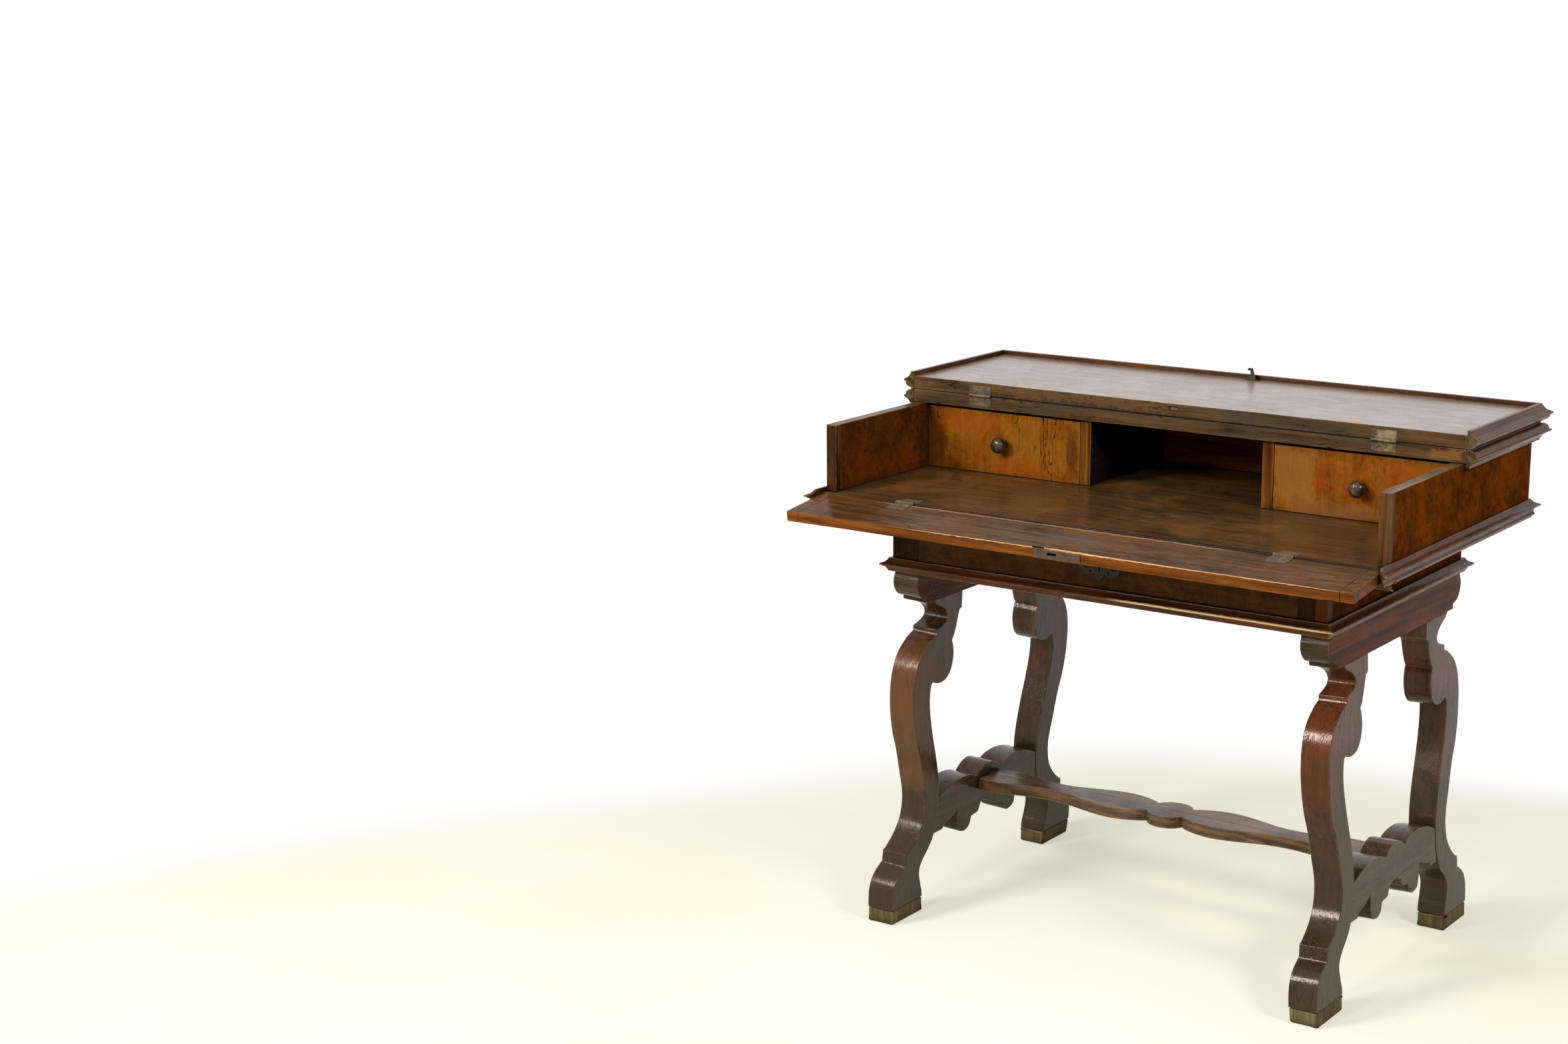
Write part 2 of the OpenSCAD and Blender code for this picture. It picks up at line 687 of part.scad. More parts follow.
// Everything between the two side mouldings' faces, drawn along Y
module between_side_faces() {
    half = [for (p = base_profile(base_t, base_h)) [p[0] + side_x, p[1]]];
    translate([0, far, base_z])
        rotate([90, 0, 0])
            linear_extrude(2 * far)
                polygon(concat(half, mirrored(half)));
}
module base_moulding_side() {
    profile = base_profile(base_t, base_h);
    difference() {
        intersection() {
            run_right(side_x, back_d, flap_face_y - base_t, base_z, profile, base_t, 1, 0);
            behind_front_face();
        }
        difference() {
            union() {
                box(side_x - 1, side_x + far, -far, hinge_y, 0, far);
                dropped()
                    box(side_x - 1, side_x + far, -far, flap_face_y + part_gap,
                        write_z - base_drop - part_gap, far);
            }
            parting_cone(side_x, base_drop);
        }
    }
}
module base_moulding() {
    color(walnut) set_on_origin() {
        both_sides() base_moulding_side();
        run_back(side_x, back_d, base_z, base_profile(base_t, base_h), base_t);
    }
}

// Top

module fixed_top() {
    color(glare_walnut) set_on_origin() difference() {
        box(-strip_x, strip_x, seam_y + seam_w / 2, strip_back_y, case_top_z, top_z);
        at_top_hinges() hinge_recess(top_hinge_w, top_leaf_l, seam_w / 2, false);
    }
}
module fixed_top_moulding() {
    profile = edge_profile(edge_t, edge_h);
    color(dark_walnut) set_on_origin() {
        run_back(strip_x, strip_back_y, top_z, profile, edge_t);
        both_sides()
            run_right(strip_x, strip_back_y, seam_y + seam_w / 2, top_z, profile, edge_t, 1, 0);
    }
}
module top_hinge_fixed_leaves() {
    color(brass) set_on_origin() at_top_hinges()
        hinge_leaf(top_hinge_w, top_leaf_l, seam_w / 2, false);
}
module top_hinge_moving_leaves() {
    color(brass) set_on_origin() at_top_hinges()
        hinge_leaf(top_hinge_w, top_leaf_l, seam_w / 2, true);
}
module top_hinge_pins() {
    color(brass) set_on_origin() at_top_hinges() hinge_pin(top_hinge_w);
}
catch_plate_w = 26;
catch_plate_d = 12;
catch_plate_t = 2;
module folding_top() {
    color(glare_walnut) set_on_origin() difference() {
        folded() difference() {
            box(-strip_x, strip_x, strip_front_y, seam_y - seam_w / 2, case_top_z, top_z);
            box(-catch_plate_w / 2, catch_plate_w / 2, flap_mid_y - catch_plate_d / 2,
                flap_mid_y + catch_plate_d / 2, case_top_z - 1, case_top_z + catch_plate_t);
        }
        at_top_hinges() hinge_recess(top_hinge_w, top_leaf_l, seam_w / 2, true);
    }
}
module folding_top_moulding() {
    profile = edge_profile(edge_t, edge_h);
    color(dark_walnut) set_on_origin() folded() {
        run_front(strip_x, strip_front_y, top_z, profile, edge_t, 1);
        both_sides()
            run_right(strip_x, seam_y - seam_w / 2, strip_front_y, top_z, profile, edge_t, 0, 1);
    }
}
// The catch hangs under the closed top and drops into the lock
notch_z = 9.5;
notch_h = 6.3;
module lock_catch() {
    color(iron) set_on_origin() folded() {
        box(-catch_plate_w / 2, catch_plate_w / 2, flap_mid_y - catch_plate_d / 2,
            flap_mid_y + catch_plate_d / 2, case_top_z, case_top_z + catch_plate_t);
        translate([0, flap_mid_y + catch_t / 2, case_top_z])
            rotate([90, 0, 0])
                linear_extrude(catch_t)
                    polygon([
                        [-catch_w / 2, 0],
                        [-catch_w / 2, -notch_z],
                        [-2, -notch_z],
                        [-2, -notch_z - notch_h],
                        [-catch_w / 2, -notch_z - notch_h],
                        [-catch_w / 2, -catch_l + 1],
                        [-catch_w / 2 + 2, -catch_l],
                        [1, -catch_l],
                        [catch_w / 2, -2],
                        [catch_w / 2, 0]
                    ]);
    }
}

// Drop front, drawn closed and then dropped open

keyhole_r = 2.6;
module keyhole(t) {
    rotate([90, 0, 0]) {
        cylinder(h = t, r = keyhole_r);
        translate([-1.3, -9, 0]) cube([2.6, 9, t]);
    }
}
lock_fit = 0.2;
edge_plate_t = 2;
flap_lock_l = key_d + lock_below_key;
module lock_space(grow) {
    translate([plate_shift, 0, 0]) {
        box(-lock_w / 2 - grow, lock_w / 2 + grow, flap_mid_y - lock_t / 2 - grow,
            flap_mid_y + lock_t / 2 + grow, flap_top_z - flap_lock_l - grow, flap_top_z + 1);
        box(-plate_w / 2 - grow, plate_w / 2 + grow, flap_face_y + 0.5 - grow,
            hinge_y - 0.5 + grow, flap_top_z - edge_plate_t - grow, flap_top_z + 1);
    }
}
// A board of the drop front. Its lower edge is cut to stand upright when it sags open.
module flap_board(x0, x1) {
    translate([x0, hinge_y, write_z])
        rotate([90, 0, 90])
            linear_extrude(x1 - x0)
                polygon([
                    [0, flap_low_z - write_z],
                    [0, flap_top_z - write_z],
                    [-flap_t, flap_top_z - write_z],
                    [-flap_t, flap_low_z - write_z + flap_t * tan(droop)]
                ]);
}
module drop_front() {
    color(walnut) set_on_origin() difference() {
        dropped() difference() {
            flap_board(-flap_x + cleat_w, flap_x - cleat_w);
            lock_space(lock_fit);
            translate([0, flap_mid_y, flap_top_z - key_d]) keyhole(flap_t);
        }
        at_flap_hinges() rotate([droop, 0, 0]) hinge_recess(flap_hinge_w, flap_leaf_l, 0, true);
    }
}
module drop_front_cleats() {
    color(walnut) set_on_origin() dropped() both_sides()
        flap_board(flap_x - cleat_w, flap_x);
}
module drop_front_moulding() {
    part_x = side_x - 0.5;
    color(walnut) set_on_origin() dropped() difference() {
        intersection() {
            run_front(side_x + base_t, flap_face_y, base_z, base_profile(base_t, base_h),
                      base_t, 0);
            between_side_faces();
        }
        both_sides() parting_cone(part_x, base_drop + part_gap);
    }
}
module flap_hinge_fixed_leaves() {
    color(iron) set_on_origin() at_flap_hinges()
        hinge_leaf(flap_hinge_w, flap_leaf_l, 0, false);
}
module flap_hinge_moving_leaves() {
    color(iron) set_on_origin() at_flap_hinges() rotate([droop, 0, 0])
        hinge_leaf(flap_hinge_w, flap_leaf_l, 0, true);
}
module flap_hinge_pins() {
    color(iron) set_on_origin() at_flap_hinges() hinge_pin(flap_hinge_w);
}
bolt_throw = 6;
lock_wall = 1.5;
bolt_h = notch_h - 0.8;
flap_bolt_z = case_top_z - notch_z - notch_h / 2;
drawer_bolt_y = lower_front_y + large_front_t - lock_t / 2;
module flap_lock() {
    color(iron) set_on_origin() dropped() difference() {
        translate([plate_shift, 0, 0]) difference() {
            union() {
                box(-lock_w / 2, lock_w / 2, flap_mid_y - lock_t / 2, flap_mid_y + lock_t / 2,
                    flap_top_z - flap_lock_l, flap_top_z - 1);
                box(-plate_w / 2, plate_w / 2, flap_face_y + 0.5, hinge_y - 0.5,
                    flap_top_z - edge_plate_t, flap_top_z);
            }
            box(-lock_w / 2 + lock_wall, lock_w / 2 - lock_wall, flap_mid_y - bolt_t / 2 - 0.3,
                flap_mid_y + bolt_t / 2 + 0.3, flap_top_z - flap_lock_l + lock_wall,
                flap_top_z - edge_plate_t);
        }
        box(-catch_w / 2 - 1, catch_w / 2 + 1, flap_mid_y - catch_t / 2 - 0.8,
            flap_mid_y + catch_t / 2 + 0.8, flap_top_z - edge_plate_t - 1, flap_top_z + 1);
        translate([0, flap_mid_y, flap_top_z - key_d]) keyhole(lock_t);
    }
}
module flap_lock_bolt() {
    color(iron) set_on_origin() dropped()
        box(plate_shift - lock_w / 2 + lock_wall + 1, -catch_w / 2 - 1.5, flap_mid_y - bolt_t / 2,
            flap_mid_y + bolt_t / 2, flap_bolt_z - bolt_h / 2, flap_bolt_z + bolt_h / 2);
}

// A pierced iron plate in an upright plane, its back at y 0, centred on its keyhole
plate_t = 1.2;
module escutcheon() {
    w = plate_span / 2;
    h = plate_rise / 2;
    half = concat(
        [[0, h]],
        spline([[3, h - 2], [7, h - 7], [9, h - 11]]),
        spline([[12, h - 10], [w - 14, h - 3], [w - 5, h - 6], [w, 2], [w - 3, -8],
                [w - 12, -h + 8], [w - 22, -h + 9]]),
        spline([[9, -h + 11], [6, -h + 5], [2, -h + 1], [0, -h]])
    );
    rotate([90, 0, 0]) difference() {
        linear_extrude(plate_t) union() {
            polygon(half);
            mirror([1, 0]) polygon(half);
        }
        for (s = [-1, 1]) {
            translate([s * (w - 12), 3, -1]) cylinder(h = plate_t + 2, r = 5);
            translate([s * (w - 20), -h + 14, -1]) cylinder(h = plate_t + 2, r = 2);
        }
    }
}
module flap_escutcheon() {
    color(iron) set_on_origin() dropped() difference() {
        translate([0, flap_face_y, flap_top_z - key_d - 4]) escutcheon();
        translate([0, flap_face_y + 1, flap_top_z - key_d]) keyhole(plate_t + 2);
    }
}

// Small drawers

drawer_inner_x = divider_x + divider_t;
small_w = inner_x - drawer_inner_x - 2 * drawer_gap;
small_mid_x = (inner_x + drawer_inner_x) / 2;
small_z = write_z + 0.3;
small_top = case_top_z - small_top_gap;
small_back_y = back_d - panel_t - 3;
small_side_top = small_top - 4;
knob_z = write_z + knob_rise;
module left_or_right(side) {
    color_side = side < 0 ? 1 : 0;
    mirror([color_side, 0, 0]) children();
}
module small_front(side) {
    color(gold_burr) set_on_origin() left_or_right(side) difference() {
        box(small_mid_x - small_w / 2, small_mid_x + small_w / 2, -drawer_face_d,
            -drawer_face_d + small_front_t, small_z, small_top);
        translate([small_mid_x, -drawer_face_d - 1, knob_z])
            rotate([-90, 0, 0]) cylinder(h = 13.1, d = knob_dowel + 0.1);
    }
}
module small_sides(side) {
    color(secondary_wood) set_on_origin() left_or_right(side)
        for (s = [-1, 1])
            translate([small_mid_x + s * (small_w - drawer_side_t) / 2, 0, 0])
                box(-drawer_side_t / 2, drawer_side_t / 2, -drawer_face_d + small_front_t,
                    small_back_y, small_z, small_side_top);
}
module small_back(side) {
    color(secondary_wood) set_on_origin() left_or_right(side)
        box(small_mid_x - small_w / 2 + drawer_side_t, small_mid_x + small_w / 2 - drawer_side_t,
            small_back_y - drawer_side_t, small_back_y, small_z + drawer_bottom_t,
            small_side_top);
}
module small_bottom(side) {
    color(secondary_wood) set_on_origin() left_or_right(side)
        box(small_mid_x - small_w / 2 + drawer_side_t, small_mid_x + small_w / 2 - drawer_side_t,
            -drawer_face_d + small_front_t, small_back_y, small_z, small_z + drawer_bottom_t);
}
module small_knob(side) {
    r = knob_d / 2;
    shape = concat(
        [[0, 0], [r * 0.62, 0], [r * 0.62, 1.5]],
        spline([[r * 0.5, 2.2], [r * 0.4, 3.4], [r * 0.4, 4.4]]),
        spline([[r * 0.5, 4.8], [r * 0.58, 5.5], [r * 0.5, 6.2]]),
        spline([[r * 0.56, 6.8], [r * 0.88, knob_l - 1.25 * r], [r, knob_l - 0.75 * r],
                [r * 0.86, knob_l - 0.33 * r], [r * 0.5, knob_l - 0.07 * r], [0, knob_l]])
    );
    color(dark_walnut) set_on_origin() left_or_right(side)
        translate([small_mid_x, -drawer_face_d, knob_z]) rotate([90, 0, 0]) {
            rotate_extrude() polygon(shape);
            translate([0, 0, -12]) cylinder(h = 12.5, d = knob_dowel);
        }
}

// Large drawer

large_w = 2 * post_x - 2 * drawer_gap;
large_z = floor_z + drawer_gap;
large_top = rail_z - drawer_gap;
large_back_y = lower_back_y - wall_t - 15;
large_side_top = large_top - 6;
large_key_z = large_top - drawer_key_d;
drawer_lock_top = large_top - 4;
drawer_lock_low = large_key_z - lock_below_key;
module large_front() {
    color(burr) set_on_origin() difference() {
        box(-large_w / 2, large_w / 2, lower_front_y, lower_front_y + large_front_t,
            large_z, large_top);
        box(-lock_w / 2 - lock_fit, lock_w / 2 + lock_fit,
            lower_front_y + large_front_t - lock_t - lock_fit, lower_front_y + large_front_t + 1,
            drawer_lock_low - lock_fit, drawer_lock_top + lock_fit);
        box(-bolt_w / 2 - 0.3, bolt_w / 2 + 0.3, drawer_bolt_y - bolt_t / 2 - 0.3,
            drawer_bolt_y + bolt_t / 2 + 0.3, drawer_lock_top - 1, large_top + 1);
        translate([0, lower_front_y + large_front_t, large_key_z]) keyhole(large_front_t + 1);
    }
}
module large_sides() {
    color(secondary_wood) set_on_origin() both_sides()
        box(large_w / 2 - drawer_side_t, large_w / 2, lower_front_y + large_front_t,
            large_back_y, large_z, large_side_top);
}
module large_back() {
    color(secondary_wood) set_on_origin()
        box(-large_w / 2 + drawer_side_t, large_w / 2 - drawer_side_t,
            large_back_y - drawer_side_t, large_back_y, large_z + drawer_bottom_t,
            large_side_top);
}
module large_bottom() {
    color(secondary_wood) set_on_origin()
        box(-large_w / 2 + drawer_side_t, large_w / 2 - drawer_side_t,
            lower_front_y + large_front_t, large_back_y, large_z, large_z + drawer_bottom_t);
}
module drawer_lock() {
    color(iron) set_on_origin() difference() {
        box(-lock_w / 2, lock_w / 2, drawer_bolt_y - lock_t / 2, drawer_bolt_y + lock_t / 2,
            drawer_lock_low, drawer_lock_top);
        box(-bolt_w / 2 - 0.3, bolt_w / 2 + 0.3, drawer_bolt_y - bolt_t / 2 - 0.3,
            drawer_bolt_y + bolt_t / 2 + 0.3, drawer_lock_low + lock_wall,
            drawer_lock_top + 1);
        translate([0, drawer_bolt_y + lock_t / 2 - lock_wall, large_key_z])
            keyhole(lock_t);
    }
}
module drawer_lock_bolt() {
    color(iron) set_on_origin()
        box(-bolt_w / 2, bolt_w / 2, drawer_bolt_y - bolt_t / 2, drawer_bolt_y + bolt_t / 2,
            large_key_z + keyhole_r + 2, large_top - 0.2);
}
module drawer_escutcheon() {
    color(iron) set_on_origin() difference() {
        translate([0, lower_front_y, large_key_z - 4]) escutcheon();
        translate([0, lower_front_y + 1, large_key_z]) keyhole(plate_t + 2);
    }
}

head(-1);  // head_left
head(1);  // head_right
leg(-1, false);  // front_leg_left
leg(1, false);  // front_leg_right
leg(-1, true);  // back_leg_left
leg(1, true);  // back_leg_right
foot_pads();
cross_stretcher(-1);  // cross_stretcher_left
cross_stretcher(1);  // cross_stretcher_right
long_stretcher();
lower_floor();
lower_side(-1);  // lower_side_left
lower_side(1);  // lower_side_right
lower_back();
corner_posts();
front_rail();
drawer_guides();
lower_moulding();
writing_board();
upper_side(-1);  // upper_side_left
upper_side(1);  // upper_side_right
side_lippings();
upper_back();
divider(-1);  // divider_left
divider(1);  // divider_right
base_moulding();
fixed_top();
fixed_top_moulding();
top_hinge_fixed_leaves();
flap_hinge_fixed_leaves();
folding_top();
folding_top_moulding();
top_hinge_moving_leaves();
top_hinge_pins();
lock_catch();
drop_front();
drop_front_cleats();
drop_front_moulding();
flap_hinge_moving_leaves();
flap_hinge_pins();
flap_lock();
flap_escutcheon();
flap_lock_bolt();
small_front(-1);  // left_drawer_front
small_sides(-1);  // left_drawer_sides
small_back(-1);  // left_drawer_back
small_bottom(-1);  // left_drawer_bottom
small_knob(-1);  // left_drawer_knob
small_front(1);  // right_drawer_front
small_sides(1);  // right_drawer_sides
small_back(1);  // right_drawer_back
small_bottom(1);  // right_drawer_bottom
small_knob(1);  // right_drawer_knob
large_front();  // large_drawer_front
large_sides();  // large_drawer_sides
large_back();  // large_drawer_back
large_bottom();  // large_drawer_bottom
drawer_lock();
drawer_escutcheon();
drawer_lock_bolt();
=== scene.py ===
import math

import bmesh
import bpy
from mathutils import Matrix, Vector, noise
from mathutils.bvhtree import BVHTree


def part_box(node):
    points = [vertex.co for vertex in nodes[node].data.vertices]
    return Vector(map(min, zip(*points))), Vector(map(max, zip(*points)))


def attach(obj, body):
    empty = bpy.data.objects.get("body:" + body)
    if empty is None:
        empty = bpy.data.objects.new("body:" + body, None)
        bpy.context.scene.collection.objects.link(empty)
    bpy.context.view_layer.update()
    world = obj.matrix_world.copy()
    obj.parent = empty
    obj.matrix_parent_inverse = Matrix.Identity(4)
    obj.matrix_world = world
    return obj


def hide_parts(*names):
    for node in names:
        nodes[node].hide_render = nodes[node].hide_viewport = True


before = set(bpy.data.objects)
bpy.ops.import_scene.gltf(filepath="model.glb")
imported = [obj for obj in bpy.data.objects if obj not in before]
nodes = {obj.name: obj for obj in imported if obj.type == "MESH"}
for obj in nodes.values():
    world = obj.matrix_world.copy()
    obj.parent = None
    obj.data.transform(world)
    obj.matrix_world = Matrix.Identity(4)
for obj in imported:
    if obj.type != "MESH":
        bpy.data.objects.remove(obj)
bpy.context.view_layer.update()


# Colours and node graphs

def srgb(r, g, b):
    """An 8-bit screen colour as Blender's linear colour."""
    c = [v / 255 for v in (r, g, b)]
    return tuple(v / 12.92 if v <= 0.04045 else ((v + 0.055) / 1.055) ** 2.4 for v in c) + (1.0,)


# What all materials share: colours, gloss, and how far grain and cracks are drawn out along the wood
# SHADE_AND_DIRT darkens corners and hollows: dirt, and painted shade
SHADE_AND_DIRT = srgb(24, 14, 8)
DARK_CRACK = srgb(20, 10, 5)
DUST = srgb(150, 138, 126)
TARNISH = srgb(22, 17, 12)
SPECK = srgb(150, 140, 120)
PAPER_DARK = srgb(243, 241, 222)
PAPER_LIGHT = srgb(247, 246, 233)
WHITE = (1.0, 1.0, 1.0, 1.0)
WARM_GLOSS = (1.0, 0.9, 0.78, 1.0)
WAX_ROUGHNESS = 0.22
EVEN = (1.0, 1.0, 1.0)
GRAIN_STRETCH = 0.06
CRACK_STRETCH = 0.14


class Graph:
    """A material and short ways to add nodes to it."""

    def __init__(self, name):
        self.material = bpy.data.materials.new(name)
        self.material.use_nodes = True
        self.tree = self.material.node_tree
        self.tree.nodes.clear()
        self.out = self.node("ShaderNodeOutputMaterial")
        self.shader = self.node("ShaderNodeBsdfPrincipled")
        self.tree.links.new(self.shader.outputs[0], self.out.inputs[0])
        self.place = self.node("ShaderNodeTexCoord").outputs["Object"]

    def node(self, kind, **settings):
        n = self.tree.nodes.new(kind)
        for key, value in settings.items():
            setattr(n, key, value)
        return n

    def put(self, socket, value):
        """Links a socket's value, or sets a plain one."""
        if isinstance(value, bpy.types.NodeSocket):
            self.tree.links.new(value, socket)
        else:
            socket.default_value = value

    def math(self, op, a, b=0.0, clamp=False):
        n = self.node("ShaderNodeMath", operation=op, use_clamp=clamp)
        self.put(n.inputs[0], a)
        self.put(n.inputs[1], b)
        return n.outputs[0]

    def vector(self, op, a, b=(0.0, 0.0, 0.0)):
        n = self.node("ShaderNodeVectorMath", operation=op)
        self.put(n.inputs[0], a)
        self.put(n.inputs[1], b)
        return n.outputs["Value"] if op in ("DOT_PRODUCT", "LENGTH") else n.outputs[0]

    def mix(self, share, a, b):
        n = self.node("ShaderNodeMix", data_type="RGBA")
        self.put(n.inputs["Factor"], share)
        self.put(n.inputs[6], a)
        self.put(n.inputs[7], b)
        return n.outputs[2]

    def ramp(self, share, stops):
        n = self.node("ShaderNodeValToRGB")
        while len(n.color_ramp.elements) < len(stops):
            n.color_ramp.elements.new(0.5)
        for element, (at, colour) in zip(n.color_ramp.elements, stops):
            element.position = at
            element.color = colour
        self.put(n.inputs[0], share)
        return n.outputs[0]

    def span(self, value, low, high, a=0.0, b=1.0):
        """a at low and b at high, with a smooth change between them."""
        n = self.node("ShaderNodeMapRange", interpolation_type="SMOOTHSTEP")
        for i, v in enumerate((value, low, high, a, b)):
            self.put(n.inputs[i], v)
        return n.outputs[0]

    def mapped(self, scale, at):
        n = self.node("ShaderNodeMapping")
        self.put(n.inputs[0], self.place)
        n.inputs["Location"].default_value = at
        n.inputs["Scale"].default_value = scale
        return n.outputs[0]

    def noise(self, where, scale, detail=3.0, rough=0.5, twist=0.0, colour=False):
        n = self.node("ShaderNodeTexNoise")
        self.put(n.inputs["Vector"], where)
        n.inputs["Scale"].default_value = scale
        n.inputs["Detail"].default_value = detail
        n.inputs["Roughness"].default_value = rough
        n.inputs["Distortion"].default_value = twist
        return n.outputs[1 if colour else 0]

    def worn_edges(self, radius, reach=0.1):
        """1 on a convex or concave edge, 0 on the flat."""
        bevel = self.node("ShaderNodeBevel", samples=4)
        bevel.inputs["Radius"].default_value = radius
        flat = self.node("ShaderNodeNewGeometry").outputs["Normal"]
        return self.span(self.vector("DOT_PRODUCT", bevel.outputs[0], flat), 0.99, 0.99 - reach)

    def crevices(self, distance):
        """1 in the open, towards 0 in a corner."""
        n = self.node("ShaderNodeAmbientOcclusion", samples=4)
        n.inputs["Distance"].default_value = distance
        return n.outputs["AO"]

    def spot(self, centre, half, ragged, soft=0.3):
        """1 inside a box with soft sides, 0 outside it. ragged is how far its outline wanders."""
        shift = self.noise(self.place, 90.0, 3.0, colour=True)
        shift = self.vector("MULTIPLY", self.vector("SUBTRACT", shift, (0.5, 0.5, 0.5)), (ragged,) * 3)
        place = self.vector("ADD", self.place, shift)
        away = self.vector("ABSOLUTE", self.vector("SUBTRACT", place, centre))
        n = self.node("ShaderNodeSeparateXYZ")
        self.put(n.inputs[0], self.vector("DIVIDE", away, half))
        most = self.math("MAXIMUM", self.math("MAXIMUM", n.outputs[0], n.outputs[1]), n.outputs[2])
        return self.span(most, 1.0, 1.0 - soft)

    def finish(self, colour, rough, bump, depth, coat=0.0, level=0.5):
        self.put(self.shader.inputs["Base Color"], colour)
        self.put(self.shader.inputs["Roughness"], rough)
        self.shader.inputs["Specular IOR Level"].default_value = level
        self.shader.inputs["Specular Tint"].default_value = WARM_GLOSS
        self.shader.inputs["Coat Weight"].default_value = coat
        self.shader.inputs["Coat Roughness"].default_value = WAX_ROUGHNESS
        n = self.node("ShaderNodeBump")
        n.inputs["Strength"].default_value = 1.0
        n.inputs["Distance"].default_value = depth
        self.put(n.inputs["Height"], bump)
        self.put(self.shader.inputs["Normal"], n.outputs[0])
        return self.material


